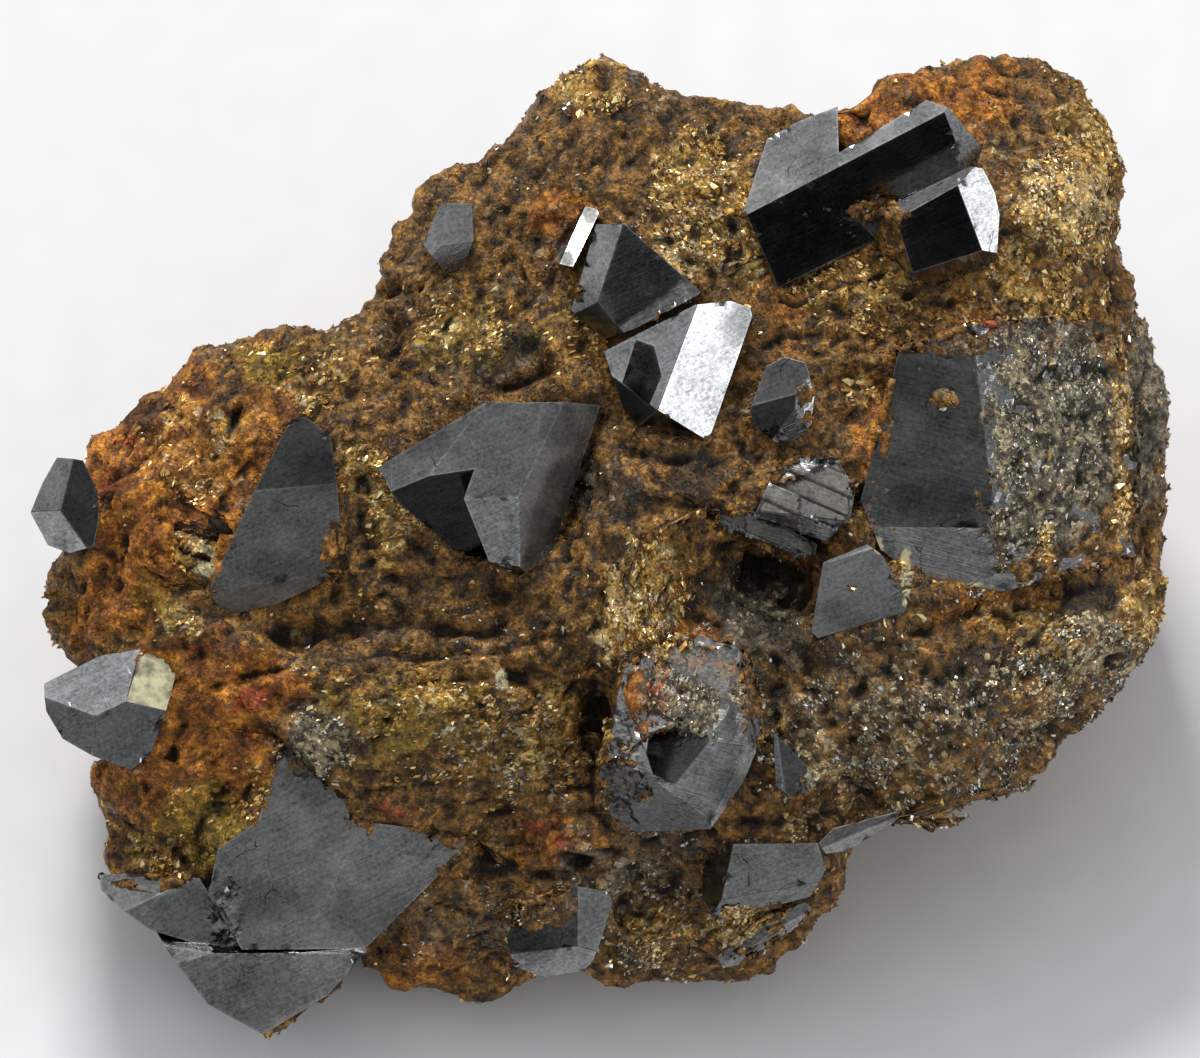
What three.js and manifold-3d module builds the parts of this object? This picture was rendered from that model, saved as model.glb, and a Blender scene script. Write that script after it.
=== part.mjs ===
// Rutile crystals grown in a lump of iron-stained mica rock, resting on its broken underside.
// Millimetres and degrees. The rock is laid out on its display face: x to the right, y up the face and
// z out of it. The face is then leaned back and lifted, so that the underside lies on the ground.
import * as THREE from "three";
import { ConvexGeometry } from "three/addons/geometries/ConvexGeometry.js";
import { ImprovedNoise } from "three/addons/math/ImprovedNoise.js";
import { mergeVertices } from "three/addons/utils/BufferGeometryUtils.js";
import Module from "manifold-3d";

const FACE_LEAN = THREE.MathUtils.degToRad(28);
const FACE_HEIGHT = 33;
const SOCKET_GAP = 0.3;
const WALL_TAPER = 0.1;

// Form of the lump: how many facets it has, and which share of them makes the face, the side and the base.
const LUMP_DETAIL = 17;
const RIM_ANGLE = THREE.MathUtils.degToRad(106);
const SIDE_SHARE = 0.74;
const BASE_PULL_IN = 0.1;
const BACK_PULL_IN = 0.14;
const FOOT_SPREAD = THREE.MathUtils.degToRad(8);
const BASE_CENTRE_Y = 0;
const SIDE_ROUGHNESS = 1.3;
const SIDE_SET_BACK = 1;
const NOTCH_FRONT = 30;

// The face is highest along a crest across it, and falls away to the top, the bottom and both sides.
const CREST_Y = -8;
const FALL_ABOVE = 0.0035;
const FALL_BELOW = 0.01;
const FALL_SIDES = 0.0022;
const SHOULDER_START = 0.84;
const SHOULDER_DROP = 3.6;

// Outline of the rock as the face shows it, clockwise from its peak.
const OUTLINE = [
  [-0.6, 38.6], [3.2, 36.6], [5.2, 34.6], [8.4, 35.2], [10.8, 34.6], [15.6, 32.6], [20, 34.1],
  [24.4, 36], [28.4, 38], [32.4, 38.2], [36.8, 37], [39.6, 34.4], [41.4, 30.8], [41.8, 27.2],
  [41, 24.4], [41.8, 21.2], [43.4, 17.2], [44.8, 11.6], [45.4, 6.4], [44.9, 2], [45.4, -2.4],
  [45.1, -7.6], [43.6, -10.6], [39.6, -13.2], [37.2, -15.6], [35.6, -19.2], [32.8, -22], [28.8, -23.8],
  [25.2, -24.2], [23.2, -23.4], [19.6, -26], [18.2, -28.8], [17.6, -31.2], [15.2, -34], [11.6, -36.2],
  [7.2, -37.3], [2.8, -36.4], [-0.8, -35.4], [-5.6, -36.4], [-10, -37.6], [-12.4, -36.4], [-14.8, -38],
  [-17.2, -36.4], [-19.6, -34], [-25.6, -31.6], [-36.8, -30], [-39.6, -28], [-40, -21.6], [-40.2, -18.8],
  [-42, -14.8], [-42.4, -10], [-44.2, -7.4], [-44.6, -4.8], [-43.6, -2.4], [-42.4, 1.6], [-41.2, 4.8],
  [-38.4, 8.6], [-34.8, 12.2], [-30.8, 14.6], [-26, 16], [-21.2, 15.4], [-18.8, 16.6], [-18.2, 19],
  [-16.8, 22.4], [-15, 26], [-13.8, 28.4], [-9.2, 29.4], [-6.4, 31.8], [-4, 34.8],
];

// Swells, ledges and hollows of the face: where, how wide along and across, turned how far, how high.
const SWELLS = [
  { name: "upper right dome", at: [35.5, 28], size: [9, 9], turn: 0, rise: 4 },
  { name: "peak", at: [-1, 33], size: [7, 6], turn: 0, rise: 1.5 },
  { name: "left lobe", at: [-34, 2], size: [9, 8], turn: 0, rise: 2 },
  { name: "golden ridge", at: [2, -2], size: [9, 4], turn: 62, rise: 3 },
  { name: "ridge above the pair", at: [9, 27], size: [6, 3.5], turn: 20, rise: 1.2 },
  { name: "left slope", at: [-16, -14], size: [11, 6], turn: -10, rise: 2 },
  { name: "right shoulder", at: [41, -7], size: [5, 4], turn: 0, rise: 2.5 },
  { name: "lower right bulge", at: [29, -16], size: [7, 5], turn: 30, rise: 2.2 },
  { name: "bottom lobe", at: [8, -35], size: [6, 4], turn: 0, rise: 1.5 },
  { name: "ledge over the prism", at: [23, 34.5], size: [6.5, 3], turn: 24, rise: 4.2 },
  { name: "dark recess", at: [13.5, -4], size: [4.5, 3], turn: -10, rise: -7 },
  { name: "groove by the notched crystal", at: [-1, -16], size: [5, 2], turn: 85, rise: -3 },
  { name: "trough under the kite", at: [-19, -7], size: [11, 2.3], turn: 4, rise: -2.2 },
  { name: "hollow under the ledge", at: [36, -6], size: [6, 2.2], turn: 8, rise: -2.6 },
  { name: "hollow between the bottom crystals", at: [4, -29], size: [3.5, 3], turn: 0, rise: -4 },
  { name: "gully below the centre", at: [-6, -20], size: [2, 8], turn: -20, rise: -1.5 },
];
const ROUGHNESS = [
  { length: 17, height: 1 },
  { length: 9, height: 1.3 },
  { length: 4.6, height: 0.9 },
  { length: 2.6, height: 0.4 },
];

// Crystals. Corners are the outline of each block seen along the view, in order round it. The main face
// passes a height above the rock at its seat and leans towards a direction by an angle. Every further
// face folds off one before it, on the right of a line from one point to another, by a slope.
const CRYSTALS = {
  corner_crystal: [
    {
      corners: [[-31.4, -29.2], [-30.6, -25.6], [-26.2, -22.5], [-9.8, -24.6], [-18.8, -33.7], [-28.8, -33.7]],
      seat: [-24, -28], proud: 1.4, lean: 270, tilt: 4, root: -13,
      folds: [[0, [-24, -27.2], [-17.6, -24.8], 0.12]],
    },
    {
      corners: [[-27.4, -23.4], [-25.6, -16.7], [-20.4, -21.4], [-19.8, -24.5], [-24, -27.2]],
      seat: [-24, -28], proud: 1.4, lean: 270, tilt: 4, root: -13,
      folds: [[0, [-24, -27.2], [-17.6, -24.8], 0.12]],
    },
    {
      corners: [[-40.2, -27.7], [-40, -29], [-39, -30], [-36, -32.2], [-28, -34.6], [-27, -33],
        [-30, -28.2], [-36.8, -27.6]],
      seat: [-34.8, -29.6], proud: 1.6, lean: 235, tilt: 14, root: -14,
      folds: [[0, [-32.4, -28], [-38, -30.6], 0.35], [0, [-28.8, -33.7], [-31.4, -29.2], 1.5]],
    },
    {
      corners: [[-36.2, -31.8], [-31.6, -38], [-27, -40.6], [-21.6, -37.2], [-18.8, -33.9], [-20, -31.5],
        [-32, -30]],
      seat: [-26.5, -34.2], proud: 3.4, lean: 262, tilt: 13, root: -15.2,
      folds: [[0, [-19, -34], [-32, -34], 1.4], [0, [-31.6, -34.2], [-33.8, -34.8], 0.5]],
    },
  ],
  left_point_crystal: [
    {
      corners: [[-44.6, -12.4], [-43.2, -11.7], [-40, -10.1], [-36.8, -9.6], [-34.6, -10.2], [-33.9, -11.6],
        [-34.4, -13.6], [-36, -18.2], [-37.6, -19.3], [-40.5, -18.2], [-43, -16.9], [-44.4, -14.6]],
      seat: [-37.6, -16.4], proud: 1.6, lean: 285, tilt: 13, root: -11,
      folds: [[0, [-40.4, -15], [-40.5, -18.2], 0.6], [0, [-37.9, -13.8], [-40.4, -15], 0.8],
        [2, [-37.9, -13.6], [-36.8, -9.7], 0.5]],
    },
  ],
  left_edge_crystal: [
    {
      corners: [[-43.4, 5.8], [-41.4, 5.5], [-40.2, 3.2], [-40.1, 0.8], [-40.5, -1.3], [-42.3, -2],
        [-44.3, -1.3], [-45.6, 1.4], [-44.5, 4]],
      seat: [-41.4, 1.6], proud: 1.8, lean: 335, tilt: 18, root: -11,
      folds: [[0, [-42.2, 5.4], [-43.2, 1.5], 1], [1, [-45.5, 1.4], [-43.2, 1.5], 0.9]],
    },
  ],
  kite_crystal: [
    {
      corners: [[-24.9, 8.8], [-23.5, 9], [-21.4, 7.2], [-20.4, -3.4], [-25.5, -5.9],
        [-30.2, -7], [-31.4, -4.8]],
      seat: [-26, -0.8], proud: 0.7, lean: 250, tilt: 9, root: -10,
      folds: [[0, [-30.7, -4.9], [-20.6, -3.5], 0.4], [0, [-21.4, 3.6], [-26.1, 3.2], 0.45]],
    },
  ],
  centre_crystal: [
    {
      corners: [[-10.8, 2.4], [-8.2, 10.1], [0, 10.2], [0.5, 9.2], [-1, 1.4], [-2.8, -1.2], [-6.5, -3.8],
        [-8.9, -2.7]],
      seat: [-7.6, 6.4], proud: 3.4, lean: 95, tilt: 14, root: -9,
      folds: [[0, [-10.9, 2.4], [-6.5, 2.6], 0.5], [0, [-6.5, 2.6], [-3.5, 8.8], 1.1],
        [2, [-3.2, 0.1], [-0.2, 9.2], 1], [1, [-8.9, -2.6], [-6.4, -3], 1.2]],
    },
    {
      corners: [[-17.8, 4.8], [-16.4, 5.8], [-9, 10.2], [-6, 10.1], [-6.5, -3], [-8.9, -2.9],
        [-11.8, -1.8], [-16.4, 2.6]],
      seat: [-7.6, 6.4], proud: 3.4, lean: 95, tilt: 14, root: -9,
      folds: [[0, [-16.4, 3.8], [-8.6, 5], 0.95], [0, [-9.2, 10], [-12.8, 5.4], 0.45]],
    },
  ],
  twin_upper_crystal: [
    {
      corners: [[-0.2, 24.5], [1.8, 24.3], [8.2, 19.1], [7.9, 18.7], [3, 16.1], [0.4, 15.1], [-2.4, 17.6]],
      seat: [4, 20], proud: 3.2, lean: 300, tilt: 22, root: -11,
      folds: [[0, [1.8, 24.2], [-0.2, 18.1], 1.2], [0, [-0.2, 18.1], [1.6, 16], 0.9]],
    },
  ],
  twin_lower_crystal: [
    {
      corners: [[0.3, 14.3], [7.7, 17.9], [10.2, 18.3], [12, 17.8], [12.3, 16.8], [8.7, 7],
        [7.2, 6.9], [3.6, 7.5], [1.7, 9.8]],
      seat: [4.4, 15.2], proud: 3.2, lean: 185, tilt: 12, root: -10,
      folds: [[0, [4.6, 9.5], [7.8, 18], 0.75], [0, [1.8, 11.6], [4.6, 9.5], 0.9],
        [1, [4.6, 9.5], [8.7, 7], 1.3], [1, [8.7, 7], [12.2, 17], 1.2]],
      notches: [{
        fold: [0, [2.9, 15.1], [4.3, 14.6], 0.5],
        sides: [[[2.9, 15.1], [1.8, 11.7]], [[1.8, 11.7], [3.9, 9.9]], [[3.9, 9.9], [4.9, 12.2]],
          [[4.9, 12.2], [4.3, 14.6]]],
      }],
    },
  ],
  sliver_crystal: [
    {
      corners: [[-1.2, 25.9], [-0.2, 25.6], [0, 25.1], [-2.3, 21], [-3.2, 21.2], [-3.7, 22.8]],
      seat: [-1.7, 23.4], proud: 1.8, lean: 93, tilt: 35, root: -9,
      folds: [[0, [-1.2, 25.8], [-3.2, 21.3], 1.4]],
    },
  ],
  long_prism_crystal: [
    {
      corners: [[11.7, 25.6], [26.1, 34.4], [27.6, 33.8], [30.9, 30.6], [29.9, 28.8], [20.8, 22], [16.2, 19],
        [14.2, 19.2]],
      seat: [20.8, 26.4], proud: 2.2, lean: 298, tilt: 22, root: -14,
      folds: [[0, [27.6, 33.4], [11.8, 25.2], 1.05], [0, [29.3, 29], [27.6, 33.4], 1.1],
        [0, [14.4, 19.4], [20.8, 22.6], 0.9]],
    },
    {
      corners: [[11.6, 25.4], [13.2, 31.2], [15.9, 32.7], [19.2, 33.9], [19, 29]],
      seat: [20.8, 26.4], proud: 2.2, lean: 298, tilt: 22, root: -8,
      folds: [[0, [27.6, 33.4], [11.8, 25.2], 1.05]],
    },
    {
      corners: [[20.6, 24.7], [29.7, 29], [30.6, 28.9], [31.5, 27.3], [32, 25.4], [31.8, 21.3], [26.9, 19.4],
        [24.8, 20.2]],
      seat: [27.2, 23.6], proud: 3.2, lean: 298, tilt: 22, root: -13,
      folds: [[0, [28.6, 27.5], [23.8, 24.8], 1.5], [0, [30.6, 22.3], [28.6, 27.5], 0.5],
        [0, [25, 20.5], [30.6, 22.3], 0.9], [0, [23.6, 25], [25.1, 20.3], 1.6]],
    },
  ],
  upper_left_crystal: [
    {
      corners: [[-12.8, 26.1], [-10.2, 26.1], [-10.1, 23.2], [-10.7, 21.4], [-11.8, 19.7],
        [-14.2, 22.8]],
      seat: [-11.4, 24.4], proud: 1.2, lean: 50, tilt: 16, root: -10,
      folds: [[0, [-12.3, 26], [-12.8, 21.4], 0.8], [0, [-12.8, 22.6], [-10.2, 23], 0.9]],
    },
  ],
  round_crystal: [
    {
      corners: [[13.2, 13], [14.8, 13.8], [16.5, 13.3], [17.2, 10.8], [17, 8.4], [15.6, 7], [14, 6.9],
        [12.5, 8], [12, 9.4]],
      seat: [14, 9.2], proud: 1.9, lean: 250, tilt: 14, root: -8,
      folds: [[0, [15.6, 10.8], [12.6, 10], 0.7], [0, [15.6, 8.4], [15.8, 12.8], 0.8],
        [0, [13.8, 7.2], [15.8, 9.8], 0.5]],
    },
  ],
  layered_crystal: [
    {
      corners: [[14, 4.8], [16, 5.8], [19.2, 5.4], [20.5, 3.2], [20, 0.8], [18.2, -1.2], [12.2, 1]],
      seat: [16.4, 2.4], proud: 2, lean: 110, tilt: 14, root: -9,
      folds: [[0, [12.6, 1.4], [20, 0.4], 1.2], [0, [13.6, 3.4], [16.4, 4.4], -0.2]],
    },
    {
      corners: [[8.4, 2], [12.2, 1.6], [17.4, -1.2], [17.2, -2.4], [15.2, -2.2], [9, 0]],
      seat: [12.4, 0.2], proud: 1.2, lean: 250, tilt: 14, root: -9,
      folds: [[0, [8.6, 0.5], [15.6, -1.9], 1.4]],
    },
  ],
  wedge_crystal: [
    {
      corners: [[17.9, -2.6], [21.4, -1.2], [22.6, -2.1], [24.6, -5.8], [24.4, -6.6], [17.5, -8.8],
        [16.8, -8.2]],
      seat: [20.4, -5.6], proud: 2.4, lean: 250, tilt: 14, root: -10,
      folds: [[0, [24.5, -5.9], [22.2, -1.6], 1], [0, [21.6, -1.6], [17.9, -2.8], 1.1]],
    },
  ],
  right_crystal: [
    {
      corners: [[20.8, 2.4], [24, 14.4], [29.2, 16.2], [36.8, 17], [41.4, 15.2], [43.2, 7.2], [43, -2.4],
        [32, -5], [25, -3.7], [22.4, -1.6]],
      seat: [26.8, 6.4], proud: 1.6, lean: 225, tilt: 6, root: -12,
      folds: [[0, [31.8, -0.8], [29.8, 15.8], 0.42], [0, [22.6, 0.2], [31.4, 0.1], 0.16]],
    },
  ],
  notched_crystal: [
    {
      corners: [[2, -10.8], [7.2, -8.2], [11.6, -9.6], [12.9, -13.4], [12.8, -17], [11.6, -20],
        [9, -23.8], [3.2, -24.4], [0.6, -22.8], [0, -18.4]],
      seat: [8, -13.2], proud: 4.4, lean: 80, tilt: 16, root: -12,
      folds: [[0, [4, -16.2], [11.8, -17.4], 0.5], [0, [4.4, -10], [3.8, -17], 0.7],
        [0, [11.9, -18], [11.2, -10], 0.9], [1, [5.4, -20.9], [8.8, -23.3], 0.9],
        [1, [8.8, -23.4], [11.5, -17.7], 1.2]],
      notches: [{
        fold: [1, [9, -16.6], [6, -20.4], 0.7],
        sides: [[[9, -16.6], [6, -15.5]], [[6, -15.5], [4, -16.3]], [[4, -16.3], [3.7, -17.9]],
          [[3.7, -17.9], [4.4, -20.1]], [[4.4, -20.1], [6, -20.4]]],
      }],
    },
  ],
  parallelogram_crystal: [
    {
      corners: [[8.2, -25.4], [10.6, -25.2], [17.4, -25.1], [18.1, -27.2], [17, -29.4], [9.4, -31.4],
        [8.2, -29.8]],
      seat: [13.6, -27.4], proud: 2.6, lean: 285, tilt: 10, root: -13,
      folds: [[0, [10.6, -25.5], [9.7, -29.8], 1.8], [0, [9.7, -29.7], [16.8, -28.4], 0.9]],
    },
  ],
  bottom_crystal: [
    {
      corners: [[-6.4, -30], [-2, -28.6], [0.8, -29], [1, -30], [-0.4, -34.4], [-1.2, -35.4], [-4.4, -36],
        [-7, -35], [-7.5, -32.8]],
      seat: [-4, -31.6], proud: 2.6, lean: 250, tilt: 8, root: -11.5,
      folds: [[0, [-1.8, -33.6], [-1.8, -28.8], 0.25], [0, [-7, -34], [-1.6, -33.4], 0.7]],
    },
  ],
  bottom_edge_crystal: [
    {
      corners: [[16.4, -29.9], [13.6, -31], [9.4, -34.2], [9.8, -35.2], [11, -35], [15.4, -32.2],
        [17, -30.4]],
      seat: [12.8, -32.6], proud: 1.8, lean: 300, tilt: 14, root: -14,
      folds: [[0, [10, -34.8], [16.6, -30.6], 1]],
    },
  ],
  flank_crystal: [
    {
      corners: [[13.9, -16.4], [16.6, -18.8], [17.8, -20.8], [15.2, -21.4], [14, -20.6]],
      seat: [15.2, -19.2], proud: 1.2, lean: 320, tilt: 20, root: -10,
      folds: [[0, [14.8, -21], [14.2, -17], 0.6]],
    },
  ],
  edge_sliver_crystal: [
    {
      corners: [[17.5, -25.2], [18.6, -24], [23.8, -22.6], [23.8, -23.4], [19.8, -25.8], [18, -26]],
      seat: [20, -24.4], proud: 1.4, lean: 80, tilt: 12, root: -10,
      folds: [[0, [18, -25.4], [23.8, -23], 1]],
    },
  ],
};

// Finish of the rock and of each sort of crystal face.
const FINISHES = {
  matrix: { color: 0x6e4a2a, roughness: 0.85, metalness: 0.05 },
  bright: { color: 0x3a3b3f, roughness: 0.18, metalness: 0.6 },
  dull: { color: 0x3d3833, roughness: 0.45, metalness: 0.4 },
};
const DULL_CRYSTALS = ["layered_crystal", "right_crystal", "notched_crystal", "flank_crystal"];

const wasm = await Module();
wasm.setup();
const noise = new ImprovedNoise();

function rimRadius(angle) {
  const dx = Math.cos(angle);
  const dy = Math.sin(angle);
  let radius = 0;
  OUTLINE.forEach(([ax, ay], i) => {
    const [bx, by] = OUTLINE[(i + 1) % OUTLINE.length];
    const cross = dx * (by - ay) - dy * (bx - ax);
    const along = (dy * ax - dx * ay) / cross;
    const reach = (ax * (by - ay) - ay * (bx - ax)) / cross;
    if (along >= -1e-9 && along <= 1 + 1e-9 && reach > radius) {
      radius = reach;
    }
  });
  return radius;
}

// The underside has a calmer outline than the face, well inside it at the front.
function footRadius(angle, back) {
  const spread = [-2, -1, 0, 1, 2].map((step) => rimRadius(angle + step * FOOT_SPREAD));
  const mean = spread.reduce((sum, radius) => sum + radius) / spread.length;
  return THREE.MathUtils.lerp(Math.min(...spread), mean, back);
}

function swellHeight(swell, x, y) {
  const turn = THREE.MathUtils.degToRad(swell.turn);
  const dx = x - swell.at[0];
  const dy = y - swell.at[1];
  const along = (dx * Math.cos(turn) + dy * Math.sin(turn)) / swell.size[0];
  const across = (dy * Math.cos(turn) - dx * Math.sin(turn)) / swell.size[1];
  return swell.rise * Math.exp(-along * along - across * across);
}

function faceHeight(x, y) {
  const above = Math.max(y - CREST_Y, 0);
  const below = Math.max(CREST_Y - y, 0);
  const fall = FALL_ABOVE * above * above + FALL_BELOW * below * below + FALL_SIDES * x * x;
  return SWELLS.reduce((sum, swell) => sum + swellHeight(swell, x, y), -fall);
}

function roughness(x, y, z) {
  return ROUGHNESS.reduce((sum, wave) => {
    const k = 1 / wave.length;
    return sum + wave.height * noise.noise(x * k + 7.3, y * k + 3.1, z * k + 11.7);
  }, 0);
}

function groundBelow(y) {
  return -(FACE_HEIGHT + y * Math.sin(FACE_LEAN)) / Math.cos(FACE_LEAN);
}

// A point of the lump for one direction: on the face, on the side, or on the flat underside.
function lumpPoint(direction) {
  const angle = Math.atan2(direction.y, direction.x);
  const rim = rimRadius(angle);
  const rimCos = Math.cos(RIM_ANGLE);
  const share = (1 - direction.z) / (1 - rimCos);
  const facePoint = (fraction) => {
    const x = fraction * rim * Math.cos(angle);
    const y = fraction * rim * Math.sin(angle);
    const edge = Math.max(fraction - SHOULDER_START, 0) / (1 - SHOULDER_START);
    return new THREE.Vector3(x, y, faceHeight(x, y) - SHOULDER_DROP * edge * edge);
  };
  if (share <= 1) {
    const point = facePoint(Math.sqrt(share));
    point.z += roughness(point.x, point.y, 0);
    return point;
  }
  const top = facePoint(1);
  top.z += roughness(top.x, top.y, 0);
  const back = THREE.MathUtils.smoothstep(Math.sin(angle), 0.1, 0.8);
  const pullIn = THREE.MathUtils.lerp(BASE_PULL_IN, BACK_PULL_IN, back);
  const reach = footRadius(angle, back) * (1 - pullIn);
  const foot = new THREE.Vector3(reach * Math.cos(angle), reach * Math.sin(angle), top.z);
  const down = new THREE.Vector3(0, -back * Math.sin(FACE_LEAN), back * (1 - Math.cos(FACE_LEAN)) - 1);
  const height = foot.z - groundBelow(foot.y);
  const steps = height / (-down.z - down.y * Math.tan(FACE_LEAN));
  foot.addScaledVector(down, steps);
  const behind = (rimCos - direction.z) / (1 + rimCos);
  if (behind < SIDE_SHARE) {
    const s = behind / SIDE_SHARE;
    const point = top.clone().lerp(foot, s);
    const keep = (s - s * s) * pullIn;
    const middle = Math.sin(Math.PI * s);
    const bump = middle * (SIDE_ROUGHNESS * roughness(point.x, point.y, point.z) - SIDE_SET_BACK);
    point.addScaledVector(new THREE.Vector3(Math.cos(angle), Math.sin(angle), 0), keep * rim + bump);
    return point;
  }
  const fraction = Math.sqrt((1 - behind) / (1 - SIDE_SHARE));
  const x = foot.x * fraction;
  const y = foot.y * fraction + (1 - fraction) * BASE_CENTRE_Y;
  return new THREE.Vector3(x, y, groundBelow(y));
}

function toSolid(geometry) {
  const bare = new THREE.BufferGeometry();
  bare.setAttribute("position", geometry.getAttribute("position").clone());
  const welded = mergeVertices(bare, 1e-5);
  const vertProperties = new Float32Array(welded.getAttribute("position").array);
  const triVerts = new Uint32Array(welded.getIndex().array);
  return new wasm.Manifold(new wasm.Mesh({ numProp: 3, vertProperties, triVerts }));
}

function toGeometry(solid) {
  const mesh = solid.getMesh();
  const geometry = new THREE.BufferGeometry();
  geometry.setAttribute("position", new THREE.BufferAttribute(new Float32Array(mesh.vertProperties), 3));
  geometry.setIndex(new THREE.BufferAttribute(new Uint32Array(mesh.triVerts), 1));
  const faceted = geometry.toNonIndexed();
  faceted.computeVertexNormals();
  return faceted;
}

// A face plane as height = c + gx * x + gy * y.
function mainFace(block) {
  const slope = Math.tan(THREE.MathUtils.degToRad(block.tilt));
  const lean = THREE.MathUtils.degToRad(block.lean);
  const gx = -slope * Math.cos(lean);
  const gy = -slope * Math.sin(lean);
  const [x, y] = block.seat;
  return { gx, gy, c: faceHeight(x, y) + block.proud - gx * x - gy * y };
}

function foldedFace(face, [px, py], [qx, qy], slope) {
  const length = Math.hypot(qx - px, qy - py);
  const nx = (qy - py) / length;
  const ny = (px - qx) / length;
  return { gx: face.gx - slope * nx, gy: face.gy - slope * ny, c: face.c + slope * (px * nx + py * ny) };
}

function blockFaces(block) {
  const faces = [mainFace(block)];
  for (const [of, from, to, slope] of block.folds) {
    faces.push(foldedFace(faces[of], from, to, slope));
  }
  return faces;
}

function faceLimit(face) {
  return new THREE.Vector4(-face.gx, -face.gy, 1, face.c);
}

function lineLimit([px, py], [qx, qy]) {
  const length = Math.hypot(qx - px, qy - py);
  const nx = (qy - py) / length;
  const ny = (px - qx) / length;
  return new THREE.Vector4(nx, ny, 0, px * nx + py * ny);
}

// Side walls of a block: upright on its outline, drawing in a little towards the root.
function wallLimits(block, faces, taper) {
  const middle = new THREE.Vector2();
  block.corners.forEach(([x, y]) => middle.add(new THREE.Vector2(x, y)));
  middle.divideScalar(block.corners.length);
  return block.corners.map((from, i) => {
    const to = block.corners[(i + 1) % block.corners.length];
    const limit = lineLimit(from, to);
    if (limit.x * middle.x + limit.y * middle.y > limit.w) {
      limit.negate();
    }
    const x = (from[0] + to[0]) / 2;
    const y = (from[1] + to[1]) / 2;
    const edge = Math.min(...faces.map((face) => face.c + face.gx * x + face.gy * y));
    limit.z = -taper;
    limit.w -= taper * edge;
    return limit;
  });
}

// The solid that keeps every limit n.p <= w, each limit moved out by a gap.
function convexSolid(limits, gap) {
  const planes = limits.map((limit) => {
    const normal = new THREE.Vector3(limit.x, limit.y, limit.z);
    const length = normal.length();
    return { normal: normal.divideScalar(length), reach: limit.w / length + gap };
  });
  const points = [];
  const cross = new THREE.Vector3();
  const addPoint = (a, b, c) => {
    cross.crossVectors(b.normal, c.normal);
    const volume = a.normal.dot(cross);
    if (Math.abs(volume) < 1e-6) {
      return;
    }
    const point = cross.clone().multiplyScalar(a.reach);
    point.addScaledVector(cross.crossVectors(c.normal, a.normal), b.reach);
    point.addScaledVector(cross.crossVectors(a.normal, b.normal), c.reach);
    point.divideScalar(volume);
    const inside = planes.every((plane) => plane.normal.dot(point) <= plane.reach + 1e-5);
    if (inside && points.every((other) => other.distanceTo(point) > 0.01)) {
      points.push(point);
    }
  };
  planes.forEach((a, i) => {
    planes.slice(i + 1).forEach((b, j) => {
      planes.slice(i + j + 2).forEach((c) => addPoint(a, b, c));
    });
  });
  return toSolid(new ConvexGeometry(points));
}

function blockSolid(block) {
  const faces = blockFaces(block);
  const walls = wallLimits(block, faces, WALL_TAPER);
  const root = new THREE.Vector4(0, 0, -1, -block.root);
  let solid = convexSolid([...faces.map(faceLimit), ...walls, root], 0);
  for (const notch of block.notches ?? []) {
    const [of, from, to, slope] = notch.fold;
    const floor = faceLimit(foldedFace(faces[of], from, to, slope)).negate();
    const front = new THREE.Vector4(0, 0, 1, NOTCH_FRONT);
    const sides = [[to, from], ...notch.sides].map(([p, q]) => lineLimit(p, q));
    solid = solid.subtract(convexSolid([floor, front, ...sides, ...walls], 0));
  }
  return solid;
}

function socketSolid(block) {
  const walls = wallLimits(block, blockFaces(block), WALL_TAPER);
  const root = new THREE.Vector4(0, 0, -1, -block.root);
  const front = new THREE.Vector4(0, 0, 1, NOTCH_FRONT);
  return convexSolid([front, ...walls, root], SOCKET_GAP);
}

function joined(solids) {
  return solids.reduce((sum, solid) => sum.add(solid));
}

function lumpSolid() {
  const sphere = new THREE.IcosahedronGeometry(1, LUMP_DETAIL);
  const position = sphere.getAttribute("position");
  const direction = new THREE.Vector3();
  for (let i = 0; i < position.count; i += 1) {
    const point = lumpPoint(direction.fromBufferAttribute(position, i).normalize());
    position.setXYZ(i, point.x, point.y, point.z);
  }
  return toSolid(sphere);
}

function pieceMesh(name, solid, finish) {
  const material = new THREE.MeshStandardMaterial({ ...finish, flatShading: true });
  const mesh = new THREE.Mesh(toGeometry(solid), material);
  mesh.name = name;
  return mesh;
}

const specimen = new THREE.Group();
specimen.name = "rutile_in_matrix";
specimen.rotation.x = FACE_LEAN;
specimen.position.z = FACE_HEIGHT;
let rock = lumpSolid();
for (const [name, blocks] of Object.entries(CRYSTALS)) {
  const finish = DULL_CRYSTALS.includes(name) ? FINISHES.dull : FINISHES.bright;
  specimen.add(pieceMesh(name, joined(blocks.map(blockSolid)), finish));
  rock = rock.subtract(joined(blocks.map(socketSolid)));
}
specimen.add(pieceMesh("matrix", rock, FINISHES.matrix));

// The origin is on the ground, under the middle of the specimen.
const middle = new THREE.Box3().setFromObject(specimen, true).getCenter(new THREE.Vector3());
specimen.position.x -= middle.x;
specimen.position.y -= middle.y;

export default specimen;
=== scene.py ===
import math

import bmesh
import bpy
import numpy as np
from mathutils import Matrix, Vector, noise
from mathutils.bvhtree import BVHTree


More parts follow.
